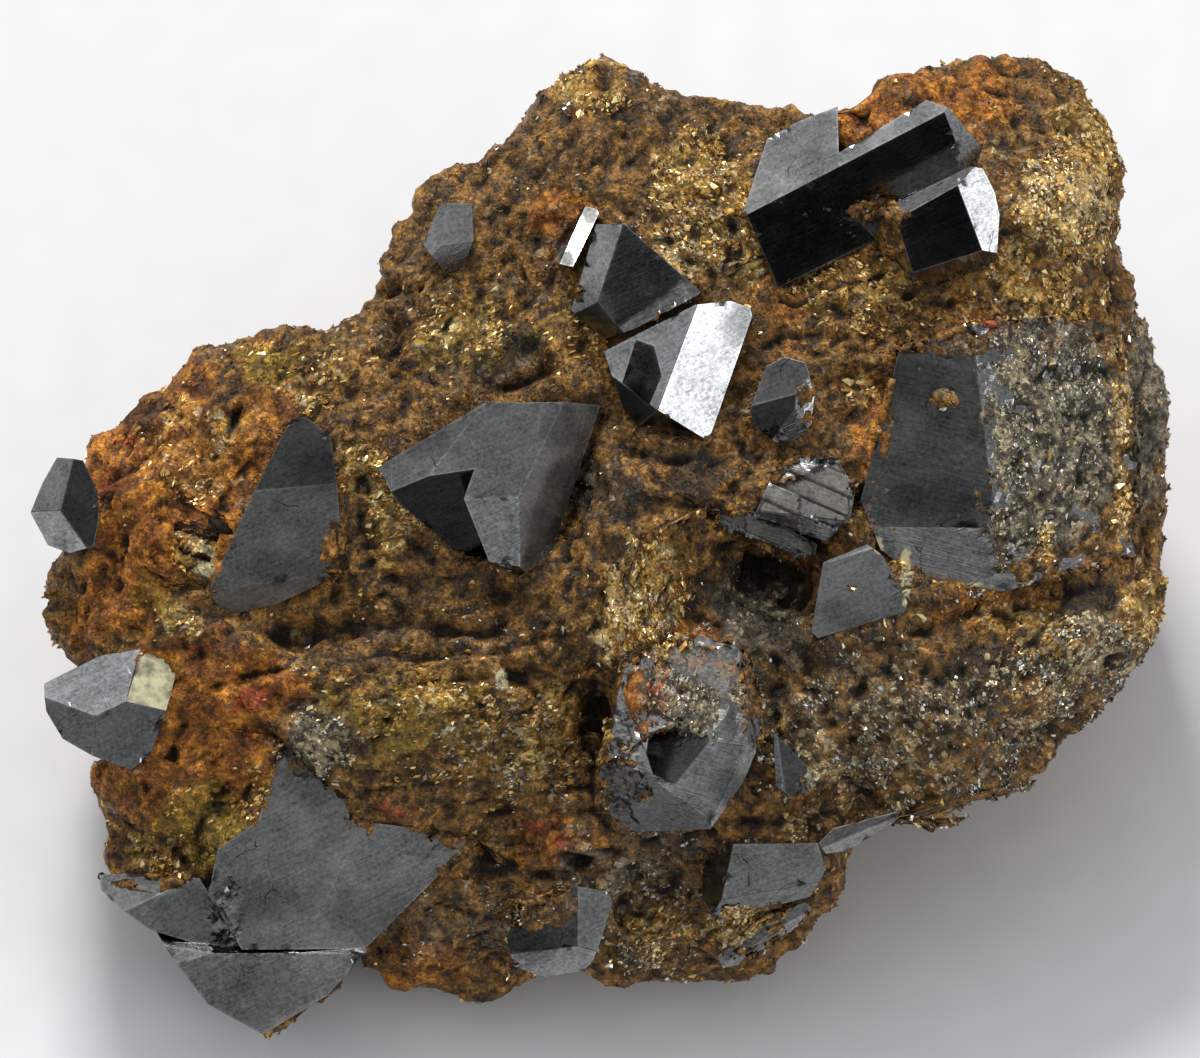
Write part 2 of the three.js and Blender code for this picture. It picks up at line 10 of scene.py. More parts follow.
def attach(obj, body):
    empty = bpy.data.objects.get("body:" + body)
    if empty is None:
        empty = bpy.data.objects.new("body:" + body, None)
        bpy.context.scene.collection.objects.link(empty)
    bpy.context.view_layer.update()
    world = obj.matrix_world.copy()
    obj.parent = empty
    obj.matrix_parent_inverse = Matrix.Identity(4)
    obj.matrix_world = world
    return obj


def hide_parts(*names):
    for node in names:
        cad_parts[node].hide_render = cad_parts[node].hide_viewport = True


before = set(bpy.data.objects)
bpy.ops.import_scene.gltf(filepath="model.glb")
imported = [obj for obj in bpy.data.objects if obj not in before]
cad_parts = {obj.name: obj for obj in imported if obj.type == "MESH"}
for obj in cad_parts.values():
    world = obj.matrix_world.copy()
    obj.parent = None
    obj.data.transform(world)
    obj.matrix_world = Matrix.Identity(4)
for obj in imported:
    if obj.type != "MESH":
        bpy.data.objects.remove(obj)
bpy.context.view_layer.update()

MM = 0.001
FACE_LEAN = math.radians(28)
FACE_ORIGIN = np.array([0.185, -2.964, 33.0]) * MM
OUT_OF_FACE = np.array([0.0, -math.sin(FACE_LEAN), math.cos(FACE_LEAN)])
PICTURE_MM = 0.08
PICTURE_WIDTH = 1200
PICTURE_MIDDLE = (600, 530)
WELD = 1e-6
NOISE_SEED = 3

# The rock: grain of its mesh, height of the flat base, reach and depth of the crystals' sockets
COARSE_GRAIN = 0.75 * MM
BASE_HEIGHT = 0.25 * MM
SOCKET_REACH = 1.3 * MM
SOCKET_DEPTH = 0.3 * MM
EASING_PASSES = 5
HOLLOW_PASSES = 4
BASIN_PASSES = 18

# The crystals: grain of their meshes, worn edges, and the rock that covers them
CRYSTAL_GRAIN = 0.6 * MM
BURIED_GRAIN = 3.0 * MM
LAMINATED_GRAIN = 0.26 * MM
CRYSTAL_BEVEL = 0.06 * MM
EDGE_WIDTH = 0.3 * MM
SHARP_EDGE = math.radians(8)
FLAT_EDGE = math.radians(0.6)
SAME_FACE = math.cos(math.radians(4))
COVER = 0.7 * MM
FAR = 5.0 * MM

# The crust on the crystals, in millimetres: share of crust where it starts, and depth of its foot
CRUST_RIM = 0.12
CRUST_FOOT = 0.35

# Flakes and grains: how many, seed, length in millimetres, slimness, height of the crown, lean
GOLD_FLAKES = dict(count=21000, seed=7, size=0.52, slim=0.34, crown=0.05, lean=0.4)
PALE_FLAKES = dict(count=20000, seed=11, size=0.34, slim=0.4, crown=0.05, lean=0.45)
ROCK_GRAINS = dict(count=14000, seed=23, size=0.3, slim=0.4, crown=0.14, lean=0.3)
FLAKE_TURNS = (0.1, 0.33, 0.56, 0.83)
FLAKE_FACES = [(0, 1, 4), (1, 2, 4), (2, 3, 4), (3, 0, 4), (1, 0, 5), (2, 1, 5), (3, 2, 5), (0, 3, 5)]
FLAKE_CORNERS = 6
FLAKE_FOOT = 0.35

CAMERA_DISTANCE = 2.5
CAMERA_SENSOR = 36.0
FLOOR_HALF = 12.0
FRONT_SIDE = math.radians(-88)

CRYSTALS = {
    "corner_crystal": "bright",
    "left_point_crystal": "bright",
    "left_edge_crystal": "bright",
    "kite_crystal": "bright",
    "centre_crystal": "bright",
    "twin_upper_crystal": "bright",
    "twin_lower_crystal": "bright",
    "sliver_crystal": "bright",
    "long_prism_crystal": "bright",
    "upper_left_crystal": "bright",
    "round_crystal": "bright",
    "layered_crystal": "dull",
    "wedge_crystal": "bright",
    "right_crystal": "dull",
    "notched_crystal": "dull",
    "parallelogram_crystal": "bright",
    "bottom_crystal": "bright",
    "bottom_edge_crystal": "bright",
    "flank_crystal": "dull",
    "edge_sliver_crystal": "bright",
}

noise.seed_set(NOISE_SEED)

# Run of the mica layers over the display face: place in the picture, angle in degrees
LAYER_RUN = [
    (150, 450, 45), (250, 620, 20), (300, 670, 18), (450, 660, -8), (450, 760, 10),
    (200, 780, 30), (640, 560, 85), (640, 620, 80), (700, 230, -40), (530, 200, 25),
    (620, 110, 60), (430, 330, 35), (1060, 190, -60), (1080, 420, 90), (900, 720, -60),
    (1100, 630, 30), (450, 950, 20), (870, 310, -20), (820, 440, 0), (660, 900, 30),
]
RUN_ANGLES = (0, 45, 90, 135)
STAINS = ("rust", "red", "ochre", "olive", "grey", "pale_mica", "cream", "dark")
RELIEF = ("hollow", "basin", "streak", "patch")

# Stained areas of the rock, and darker areas that are partly painted shade: place in the picture, half width,
# half height, strength
RUST = [
    (160, 470, 120, 130, 1.0), (110, 590, 70, 60, 0.9), (260, 420, 60, 90, 0.7), (180, 720, 110, 110, 0.9),
    (240, 690, 60, 50, 1.0), (560, 210, 50, 25, 0.7), (880, 120, 60, 25, 0.8), (960, 100, 60, 50, 0.8),
    (560, 850, 60, 40, 0.6), (660, 700, 40, 40, 0.7), (690, 420, 40, 60, 0.4), (420, 970, 60, 40, 0.6),
    (870, 430, 30, 60, 0.6), (1000, 610, 60, 30, 0.5), (300, 560, 80, 50, 0.4), (780, 330, 40, 60, 0.4),
    (1046, 342, 18, 20, 1.0), (1090, 500, 14, 30, 0.6), (962, 308, 26, 18, 1.0), (700, 640, 30, 24, 0.6),
    (148, 559, 34, 28, 1.0),
]
RED = [
    (252, 700, 26, 16, 1.0), (130, 440, 24, 22, 0.8), (120, 480, 30, 20, 0.6), (990, 320, 30, 14, 0.9),
    (530, 828, 18, 12, 1.0), (560, 842, 14, 14, 0.9), (400, 808, 30, 16, 0.8), (210, 640, 40, 18, 0.6),
    (655, 690, 12, 10, 0.9), (930, 285, 18, 12, 0.7), (250, 740, 60, 30, 0.5), (300, 640, 40, 16, 0.5),
]
OCHRE = [
    (635, 605, 60, 70, 1.0), (1070, 195, 58, 76, 1.0), (700, 190, 70, 70, 0.8), (680, 250, 50, 40, 0.7),
    (200, 450, 70, 60, 0.5), (560, 740, 60, 60, 0.7), (470, 700, 80, 40, 0.5), (1120, 420, 14, 90, 0.8),
    (1140, 600, 24, 40, 0.8), (640, 930, 50, 40, 0.7), (830, 300, 40, 30, 0.6), (880, 290, 40, 40, 0.6),
    (1050, 640, 40, 30, 0.5), (390, 520, 30, 50, 0.8), (590, 90, 40, 30, 0.7), (800, 280, 60, 20, 0.5),
    (1122, 460, 9, 100, 1.0), (1046, 540, 12, 26, 1.0), (1055, 300, 60, 24, 1.0), (470, 330, 40, 30, 0.6),
    (300, 380, 50, 20, 0.5), (160, 848, 40, 26, 0.8), (250, 800, 40, 40, 0.5), (1013, 261, 32, 30, 0.9),
    (748, 268, 32, 26, 0.9),
    (740, 930, 44, 26, 0.9), (358, 465, 22, 34, 0.9), (1011, 614, 34, 18, 0.9), (200, 547, 18, 26, 0.8),
    (962, 308, 28, 18, 0.7), (859, 387, 18, 26, 0.8), (312, 400, 22, 16, 0.8), (188, 550, 24, 22, 0.8),
    (182, 626, 22, 20, 0.8), (632, 636, 46, 26, 1.0), (798, 827, 22, 16, 0.9), (735, 252, 32, 24, 1.0),
    (1045, 283, 30, 18, 1.0),
]
OLIVE = [
    (465, 335, 50, 40, 0.8), (265, 365, 40, 24, 0.9), (420, 720, 110, 60, 0.7), (200, 830, 60, 50, 0.8),
    (560, 330, 50, 40, 0.5), (500, 760, 80, 50, 0.5), (150, 600, 40, 24, 0.7), (350, 350, 60, 20, 0.4),
]
GREY = [
    (900, 720, 170, 110, 0.5), (1080, 640, 80, 60, 0.6), (588, 480, 14, 50, 0.8), (520, 160, 70, 60, 0.3),
    (460, 270, 60, 60, 0.3),
    (1050, 430, 110, 140, 1.0), (700, 700, 60, 80, 0.8), (620, 880, 110, 70, 0.6), (420, 630, 130, 26, 0.35),
    (640, 70, 60, 30, 0.6), (330, 350, 90, 20, 0.3), (760, 620, 60, 60, 0.8), (320, 740, 40, 40, 0.8),
    (450, 920, 80, 50, 0.5), (740, 900, 60, 60, 0.5), (480, 350, 80, 40, 0.6), (1145, 420, 22, 110, 0.8),
]
PALE_MICA = [
    (1085, 655, 60, 40, 1.0), (635, 625, 46, 40, 1.0), (1060, 200, 60, 60, 0.8), (705, 690, 40, 50, 0.8),
    (900, 740, 140, 90, 0.6), (680, 240, 60, 50, 0.6), (520, 750, 70, 60, 0.5), (330, 745, 36, 36, 0.8),
    (650, 930, 60, 50, 0.6), (1060, 440, 60, 110, 0.6), (1015, 345, 32, 22, 1.0), (1000, 430, 16, 110, 1.0),
    (1050, 690, 38, 38, 1.0), (750, 925, 44, 26, 1.0), (800, 827, 26, 18, 0.8), (625, 770, 16, 40, 1.0),
    (851, 775, 32, 22, 0.9), (1030, 732, 30, 24, 1.0), (1016, 410, 24, 50, 1.0),
]
# Darker areas: partly dark stain, partly painted shade in recesses and under crystals and ledges
DARK_STAIN_AND_SHADE = [
    (697, 473, 30, 26, 1.0), (618, 498, 38, 38, 0.9), (772, 640, 44, 40, 0.7), (985, 672, 36, 32, 1.0),
    (1076, 627, 32, 18, 0.7), (650, 110, 80, 22, 0.5), (190, 385, 70, 24, 0.4), (740, 590, 50, 30, 0.7),
    (692, 650, 24, 20, 0.7),
    (1140, 470, 20, 120, 0.5), (470, 590, 90, 20, 0.5), (827, 654, 26, 20, 0.8), (500, 230, 30, 40, 0.4),
    (350, 660, 70, 16, 0.6), (485, 350, 60, 34, 0.55), (789, 755, 22, 24, 0.8), (1090, 600, 40, 18, 1.0),
    (614, 91, 26, 20, 0.5), (711, 119, 32, 20, 0.6), (214, 413, 26, 22, 0.6), (622, 558, 32, 26, 0.7),
    (930, 715, 90, 50, 0.5), (150, 415, 60, 26, 0.6), (560, 155, 24, 30, 0.5), (466, 372, 30, 16, 0.5),
]

# Crystals that split in layers: run of the layers in degrees, thickness, how far they step back
LAMINATED = {"layered_crystal": (-24, 1.5, 0.45)}

# Rough areas of the crystals: place in the picture, half width, half height, relief, mica crust
BATTERED = [
    (1072, 440, 80, 170, 0.45, 1.0), (1045, 530, 50, 60, 0.7, 1.0), (690, 685, 66, 50, 0.4, 1.0),
    (618, 760, 24, 60, 0.8, 0.3), (322, 735, 40, 50, 0.3, 0.75), (224, 920, 12, 34, 0.6, 0.0),
    (800, 475, 40, 20, 0.15, 0.15), (960, 345, 40, 16, 0.3, 0.5), (440, 860, 40, 24, 0.1, 0.15),
    (748, 690, 24, 60, 0.35, 0.4), (770, 950, 40, 30, 0.2, 0.3), (760, 915, 40, 9, 0.2, 0.9),
    (945, 400, 14, 12, 0.2, 0.8), (536, 905, 36, 26, 0.3, 0.9), (890, 232, 14, 30, 0.2, 0.8),
    (806, 402, 9, 24, 0.2, 0.6), (884, 410, 10, 60, 0.2, 0.7), (905, 345, 24, 10, 0.2, 0.8),
    (335, 560, 14, 40, 0.2, 0.8), (1030, 330, 50, 24, 0.4, 1.0), (1120, 480, 50, 90, 0.4, 1.0),
    (875, 210, 30, 12, 0.2, 0.7), (465, 842, 30, 8, 0.1, 0.6), (150, 885, 40, 10, 0.2, 0.7),
]

# Patches that take the shine off, partly films of dirt and partly painted shade on faces that look dark: place
# in the picture, half width, half height, strength
DULLED_AND_SHADED = [
    (432, 432, 36, 26, 0.7), (316, 470, 24, 24, 0.5), (330, 770, 40, 40, 0.5), (930, 500, 50, 24, 0.5),
    (380, 920, 60, 30, 0.35), (250, 905, 60, 24, 0.4), (850, 620, 30, 20, 0.4), (780, 180, 30, 14, 0.3),
    (590, 310, 24, 20, 0.5), (640, 400, 20, 14, 0.4), (300, 570, 50, 24, 0.35), (735, 790, 24, 24, 0.7),
    (270, 1000, 50, 24, 0.3), (520, 945, 40, 20, 0.5), (560, 425, 18, 30, 0.6), (910, 380, 30, 30, 0.4),
    (738, 325, 20, 22, 0.5), (731, 720, 20, 30, 0.7), (590, 212, 12, 14, 0.9), (566, 262, 10, 14, 0.9),
]

# Single faces: a place in the picture that shows the face, shine (1 when fresh; lower values partly dulling
# and partly painted shade, higher values painted highlight), cream mica, grey film
FACES = [
    (305, 460, 0.22, 0, 0), (285, 545, 0.75, 0, 0), (270, 594, 1.0, 0, 0.8), (440, 505, 0.1, 0, 0),
    (497, 537, 2.2, 0, 0), (520, 435, 0.65, 0, 0), (430, 462, 0.65, 0, 0), (592, 280, 1.6, 0, 0),
    (650, 290, 2.5, 0, 0), (580, 240, 0.72, 0, 0), (820, 240, 3.2, 0, 0.3), (800, 160, 1.05, 0, 0),
    (300, 870, 0.85, 0, 0),
    (260, 985, 1.4, 0, 0), (400, 870, 1.2, 0, 0), (300, 953.6, 0.15, 0, 0), (190, 951, 0.3, 0, 0),
    (567, 455, 0.8, 0, 0.25), (945, 548, 1.5, 0, 0), (940, 450, 0.42, 0, 0), (855, 592, 1.25, 0, 0),
    (710, 780, 1.6, 0, 0), (675, 745, 0.3, 0, 0), (770, 875, 1.2, 0, 0), (780, 900, 0.7, 0, 0),
    (95, 690, 1.6, 0, 0), (110, 735, 1.0, 0, 0), (70, 510, 0.25, 0, 0), (70, 475, 0.3, 0, 0),
    (50, 530, 1.2, 0, 0), (630, 355, 1.5, 0, 0), (780, 390, 0.4, 0, 0), (790, 410, 0.3, 0, 0),
    (785, 430, 1.2, 0, 0),
    (530, 920, 0.4, 0, 0), (595, 920, 1.3, 0, 0), (140, 672, 1.0, 1, 0), (780, 750, 0.3, 0, 0),
    (850, 836, 0.35, 0, 0.3), (800, 490, 0.9, 0, 0.7), (755, 535, 0.6, 0, 0.35), (925, 170, 0.55, 0, 0),
    (650, 805, 0.45, 0, 0),
]

# Cream mica left on faces and in the rock: place in the picture, half width, half height, strength
CREAM = [
    (906, 578, 7, 30, 0.9), (503, 680, 9, 13, 1.0), (206, 560, 9, 24, 0.9),
    (880, 545, 8, 12, 0.7), (640, 800, 10, 20, 0.4), (815, 780, 12, 14, 0.6), (985, 588, 24, 5, 0.7),
]

# Grooves and hollows sunk in the rock: two ends in the picture, half width and depth in millimetres
GROOVES = [
    (592, 690, 600, 790, 0.9, 1.7), (250, 640, 400, 622, 0.9, 1.0), (400, 622, 560, 640, 0.8, 1.0),
    (1040, 590, 1100, 580, 0.9, 2.0), (240, 405, 225, 440, 0.7, 1.0),
    (690, 455, 610, 440, 0.8, 1.2), (740, 560, 820, 600, 1.6, 1.2), (330, 640, 470, 655, 0.5, 0.7),
    (210, 690, 290, 665, 0.5, 0.8), (480, 640, 540, 700, 0.5, 0.6), (560, 860, 600, 880, 0.7, 1.2),
    (905, 640, 1000, 600, 0.6, 0.8), (640, 860, 720, 830, 0.8, 1.0), (370, 300, 420, 285, 0.6, 0.8),
    (500, 390, 560, 370, 0.5, 0.7), (370, 345, 400, 350, 0.7, 0.9), (770, 300, 900, 270, 0.5, 0.6),
    (790, 770, 830, 800, 0.6, 1.0), (1000, 770, 980, 800, 0.7, 0.7), (420, 640, 560, 625, 0.5, 0.6),
]

# Swells of the rock, given in the same way
SWELLS = [
    (590, 658, 680, 646, 2.4, 1.6), (1060, 150, 1085, 250, 3.0, 0.8), (300, 395, 350, 480, 1.2, 0.7),
    (1040, 690, 1060, 720, 2.4, 0.9), (150, 555, 200, 545, 1.6, 0.8), (720, 925, 770, 930, 1.6, 0.8),
]


def tint(red, green, blue):
    """A screen colour of 0 to 255 a channel as the light it stands for."""
    def light(channel):
        share = channel / 255
        return share / 12.92 if share <= 0.04045 else ((share + 0.055) / 1.055) ** 2.4
    return light(red), light(green), light(blue), 1.0


def on_face(points):
    """World points in metres as millimetres across, up and out of the display face."""
    moved = (points - FACE_ORIGIN) / MM
    lean_cos, lean_sin = math.cos(FACE_LEAN), math.sin(FACE_LEAN)
    up = moved[:, 1] * lean_cos + moved[:, 2] * lean_sin
    out = moved[:, 2] * lean_cos - moved[:, 1] * lean_sin
    return np.stack([moved[:, 0], up, out], 1)


def from_face(vectors):
    """Directions across, up and out of the display face as world directions."""
    lean_cos, lean_sin = math.cos(FACE_LEAN), math.sin(FACE_LEAN)
    back = vectors[:, 1] * lean_cos - vectors[:, 2] * lean_sin
    rise = vectors[:, 1] * lean_sin + vectors[:, 2] * lean_cos
    return np.stack([vectors[:, 0], back, rise], 1)


def in_picture(x, y):
    """A place in the picture as millimetres across and up the display face."""
    return (x - PICTURE_MIDDLE[0]) * PICTURE_MM, (PICTURE_MIDDLE[1] - y) * PICTURE_MM


def smooth_step(low, high, values):
    share = np.clip((values - low) / (high - low), 0, 1)
    return share * share * (3 - 2 * share)


def sampled(pattern, places):
    """A noise pattern read at each place."""
    return np.array([pattern(place) for place in places.tolist()])


def clouds(places, octaves=3, roughness=0.8, spacing=2.2):
    """Rough noise about 0 at each place."""
    return sampled(lambda p: noise.fractal(p, roughness, spacing, octaves), places)


def cells(places):
    """Distance of each place from the middle of its cell, for grains and crumbs."""
    return sampled(lambda p: noise.voronoi(p)[0][0], places)


def unit(vectors):
    return vectors / np.maximum(np.linalg.norm(vectors, axis=1), 1e-12)[:, None]


def points_of(mesh):
    flat = np.empty(len(mesh.vertices) * 3, np.float32)
    mesh.vertices.foreach_get("co", flat)
    return flat.reshape(-1, 3).astype(float)


def normals_of(mesh):
    flat = np.empty(len(mesh.vertices) * 3, np.float32)
    mesh.vertex_normals.foreach_get("vector", flat)
    return flat.reshape(-1, 3).astype(float)


def edges_of(mesh):
    flat = np.empty(len(mesh.edges) * 2, np.int32)
    mesh.edges.foreach_get("vertices", flat)
    return flat.reshape(-1, 2)


def put_points(mesh, points):
    mesh.vertices.foreach_set("co", points.astype(np.float32).ravel())
    mesh.update()


def neighbour_mean(points, edges):
    """The middle of each point's neighbours along the edges."""
    count = np.bincount(edges.ravel(), minlength=len(points))
    total = np.empty_like(points)
    for axis in range(points.shape[1]):
        total[:, axis] = np.bincount(edges[:, 0], points[edges[:, 1], axis], len(points))
        total[:, axis] += np.bincount(edges[:, 1], points[edges[:, 0], axis], len(points))
    return total / np.maximum(count, 1)[:, None]


def sunken(mesh, points, edges, passes):
    """How far each point lies below the surface around it, in millimetres."""
    eased = points
    for _ in range(passes):
        eased = neighbour_mean(eased, edges)
    return np.einsum("ij,ij->i", eased - points, normals_of(mesh)) / MM


def store(mesh, name, values):
    """Keeps one number a point on the mesh, for the materials."""
    layer = mesh.attributes.new(name, "FLOAT", "POINT")
    layer.data.foreach_set("value", values.astype(np.float32))


def welded(node):
    """A CAD solid as one closed shell."""
    shell = bmesh.new()
    shell.from_mesh(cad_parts[node].data)
    bmesh.ops.remove_doubles(shell, verts=shell.verts, dist=WELD)
    return shell


def new_piece(name, mesh, slot, *nodes):
    piece = bpy.data.objects.new(name, mesh)
    bpy.context.scene.collection.objects.link(piece)
    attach(piece, "root")
    if nodes:
        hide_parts(*nodes)
    return piece


def search_tree(*nodes):
    """One search tree over the faces of several solids."""
    corners, faces = [], []
    for node in nodes:
        shell = welded(node)
        start = len(corners)
        corners += [v.co.copy() for v in shell.verts]
        faces += [[start + v.index for v in face.verts] for face in shell.faces]
        shell.free()
    return BVHTree.FromPolygons(corners, faces)


def nearest(tree, points):
    """Nearest surface point, its outward normal, and the distance, negative inside."""
    found = [tree.find_nearest(point) for point in points.tolist()]
    spots = np.array([spot[:] for spot, _, _, _ in found])
    outward = np.array([normal[:] for _, normal, _, _ in found])
    gaps = np.array([distance for _, _, _, distance in found])
    return spots, outward, np.copysign(gaps, np.einsum("ij,ij->i", points - spots, outward))


def depth_under(rock, points, outward):
    """How deep under the rock each place just off a surface is, negative where it is bare."""
    return -nearest(rock, points + COVER * outward)[2] if len(points) else np.zeros(0)


def stained(places, areas, wander):
    """How much of a stain each place on the face has, with ragged edges."""
    amount = np.zeros(len(places))
    for x, y, half_width, half_height, strength in areas:
        across, up = in_picture(x, y)
        far = np.hypot((places[:, 0] - across) / (half_width * PICTURE_MM),
                       (places[:, 1] - up) / (half_height * PICTURE_MM))
        amount = np.maximum(amount, strength * (1 - smooth_step(0.45, 1.35, far + 0.45 * wander)))
    return amount


def layer_angle(places):
    """The run of the mica layers at each place, in radians."""
    total = np.zeros((len(places), 2))
    for x, y, degrees in LAYER_RUN:
        across, up = in_picture(x, y)
        weight = 1 / (16 + (places[:, 0] - across) ** 2 + (places[:, 1] - up) ** 2) ** 1.5
        turn = 2 * math.radians(degrees)
        total += weight[:, None] * [math.cos(turn), math.sin(turn)]
    return np.arctan2(total[:, 1], total[:, 0]) / 2


def layered(places, angle, length, width):
    """Ridges drawn out along the run of the layers."""
    total, weights = np.zeros(len(places)), np.zeros(len(places))
    for degrees in RUN_ANGLES:
        turn = math.radians(degrees)
        near = np.abs(np.cos(angle - turn)) ** 6
        along = places[:, 0] * math.cos(turn) + places[:, 1] * math.sin(turn)
        aside = places[:, 1] * math.cos(turn) - places[:, 0] * math.sin(turn)
        drawn = np.stack([along / length, aside / width, places[:, 2] / width + degrees], 1)
        total += near * sampled(noise.noise, drawn)
        weights += near
    return total / weights


def drawn_in(places, runs):
    """How far each place is within the listed runs, in millimetres of depth or height."""
    depth = np.zeros(len(places))
    for x0, y0, x1, y1, half_width, deep in runs:
        start, end = np.array(in_picture(x0, y0)), np.array(in_picture(x1, y1))
        run = end - start
        share = np.clip((places[:, :2] - start) @ run / (run @ run), 0, 1)
        aside = np.linalg.norm(places[:, :2] - start - share[:, None] * run, axis=1)
        taper = 1 - 0.6 * np.abs(2 * share - 1) ** 3
        depth = np.maximum(depth, deep * taper * np.exp(-(aside / (half_width * taper)) ** 2))
    return depth


def rock_mesh(crystals):
    """The rock as one mesh: the CAD lump in fine grain, eased and closed up to the crystals."""
    core = bpy.data.meshes.new("rock_core")
    shell = welded("matrix")
    shell.to_mesh(core)
    shell.free()
    lump = bpy.data.objects.new("rock_core", core)
    bpy.context.scene.collection.objects.link(lump)
    remesh = lump.modifiers.new("grain", "REMESH")
    remesh.mode = "VOXEL"
    remesh.voxel_size = COARSE_GRAIN
    graph = bpy.context.evaluated_depsgraph_get()
    mesh = bpy.data.meshes.new_from_object(lump.evaluated_get(graph))
    bpy.data.objects.remove(lump)

    points, edges = points_of(mesh), edges_of(mesh)
    resting = points[:, 2] < BASE_HEIGHT
    for _ in range(EASING_PASSES):
        eased = neighbour_mean(points, edges)
        points = np.where(resting[:, None], points, 0.4 * points + 0.6 * eased)
    put_points(mesh, points)

    spots, outward, gaps = nearest(crystals, points)
    toward = unit(spots - points) * np.sign(gaps)[:, None]
    facing = np.einsum("ij,ij->i", toward, normals_of(mesh))
    wall = (gaps < SOCKET_REACH) & ((facing > 0.2) | (gaps < 0)) & ~resting
    points[wall] = spots[wall] - SOCKET_DEPTH * outward[wall]
    put_points(mesh, points)
    store(mesh, "socket", wall.astype(float))

    fine = bmesh.new()
    fine.from_mesh(mesh)
    socket = fine.verts.layers.float["socket"]
    out = Vector(OUT_OF_FACE)
    shown = {
        edge
        for face in fine.faces
        if face.normal.dot(out) > -0.05 and not all(v[socket] > 0.5 for v in face.verts)
        for edge in face.edges
    }
    bmesh.ops.subdivide_edges(fine, edges=sorted(shown, key=lambda e: e.index), cuts=1, use_grid_fill=True)
    bmesh.ops.triangulate(fine, faces=[f for f in fine.faces if len(f.verts) > 4])
    fine.to_mesh(mesh)
    fine.free()
    return mesh


def store_stains(mesh, places):
    """The stains of the display face, its darker areas partly painted shade, and a looser scatter of them on
    the hidden sides.
    """
    behind = smooth_step(4, -6, places[:, 2] + 12)
    listed = (RUST, RED, OCHRE, OLIVE, GREY, PALE_MICA, CREAM, DARK_STAIN_AND_SHADE)
    for turn, (name, areas) in enumerate(zip(STAINS, listed)):
        amount = stained(places, areas, clouds(places / 5 + 13 * turn + 3, 4))
        unseen = smooth_step(0.0, 0.5, clouds(places / 13 + 17 * turn))
        hidden = 0.0 if name == "cream" else 0.35 if name in ("red", "pale_mica") else 0.7
        store(mesh, name, amount * (1 - behind) + behind * unseen * hidden)
    store(mesh, "patch", np.clip(clouds(places / 11 + 90), -1, 1))


def roughen(mesh, crystals):
    """Breaks up the rock's surface and stores its stains on the mesh."""
    points, edges, normals = points_of(mesh), edges_of(mesh), normals_of(mesh)
    socket = np.empty(len(points), np.float32)
    mesh.attributes["socket"].data.foreach_get("value", socket)
    resting = points[:, 2] < BASE_HEIGHT
    places = on_face(points)
    angle = layer_angle(places)
    spots, _, gaps = nearest(crystals, points)

    lumps = clouds(places / 7, 4, 0.9, 2.1)
    clods = clouds(places / 2.4 + 31)
    bent = places + 1.4 * sampled(noise.noise_vector, places / 4.5 + 70)
    ridges = layered(bent, angle, 5.5, 1.1)
    threads = layered(bent + 57, angle, 2.2, 0.45)
    crumbs = cells(places / 1.3)
    grit = clouds(places / 0.8 + 11, 3, 0.6, 2.3)
    hollows = drawn_in(places, GROOVES) - drawn_in(places, SWELLS)

    pits = smooth_step(0.18, 0.6, clouds(places / 1.9 + 43, 2, 0.9, 2.1))
    holes = smooth_step(0.25, 0.6, sampled(noise.noise, places / 4.5 + 61)) * pits
    layered_share = smooth_step(-0.3, 0.35, sampled(noise.noise, places / 9 + 5))
    folds = layered(bent + 91, angle, 9.0, 2.6)
    rise = 1.1 * lumps + 0.45 * clods - 0.1 * pits - 0.5 * holes + 0.6 * (2.4 * np.abs(folds) - 0.55)
    rise += (0.45 + 0.55 * layered_share) * (0.3 * (2 * np.abs(ridges) - 0.45) + 0.26 * threads)
    rise += (1 - layered_share) * 0.25 * (0.5 - crumbs)
    rise += 0.12 * grit - 0.2
    rise += 0.8 * (1 - smooth_step(0.2, 0.7, normals @ OUT_OF_FACE))
    free = smooth_step(0.15 * MM, SOCKET_REACH, gaps) * (1 - socket)
    near_rim = np.exp(-((gaps / MM - 0.5) / 0.5) ** 2)
    lap = near_rim * (0.75 * clouds(places / 1.8 + 77) + 0.12)
    depth = rise * (0.3 + 0.7 * free) + lap - hollows * free
    held = (1 - socket) * np.where(resting, 0, 1) * smooth_step(0, 4 * MM, points[:, 2])
    over = unit(spots - points) * np.sign(gaps)[:, None] * np.maximum(lap, 0)[:, None]
    moved = points + (normals * depth[:, None] + 0.9 * over) * held[:, None] * MM
    moved[:, 2] = np.maximum(moved[:, 2], np.where(resting, points[:, 2], 0.05 * MM))
    put_points(mesh, moved)

    store_stains(mesh, places)
    store(mesh, "apart", gaps / MM)
    store(mesh, "hollow", np.clip(sunken(mesh, moved, edges, HOLLOW_PASSES) / 0.25, -1, 1))
    store(mesh, "basin", np.clip(sunken(mesh, moved, edges, BASIN_PASSES) / 0.7, -1, 1))
    store(mesh, "streak", np.clip(threads + 0.6 * ridges, -1, 1))
    mesh.attributes.remove(mesh.attributes["socket"])
    mesh.shade_smooth()


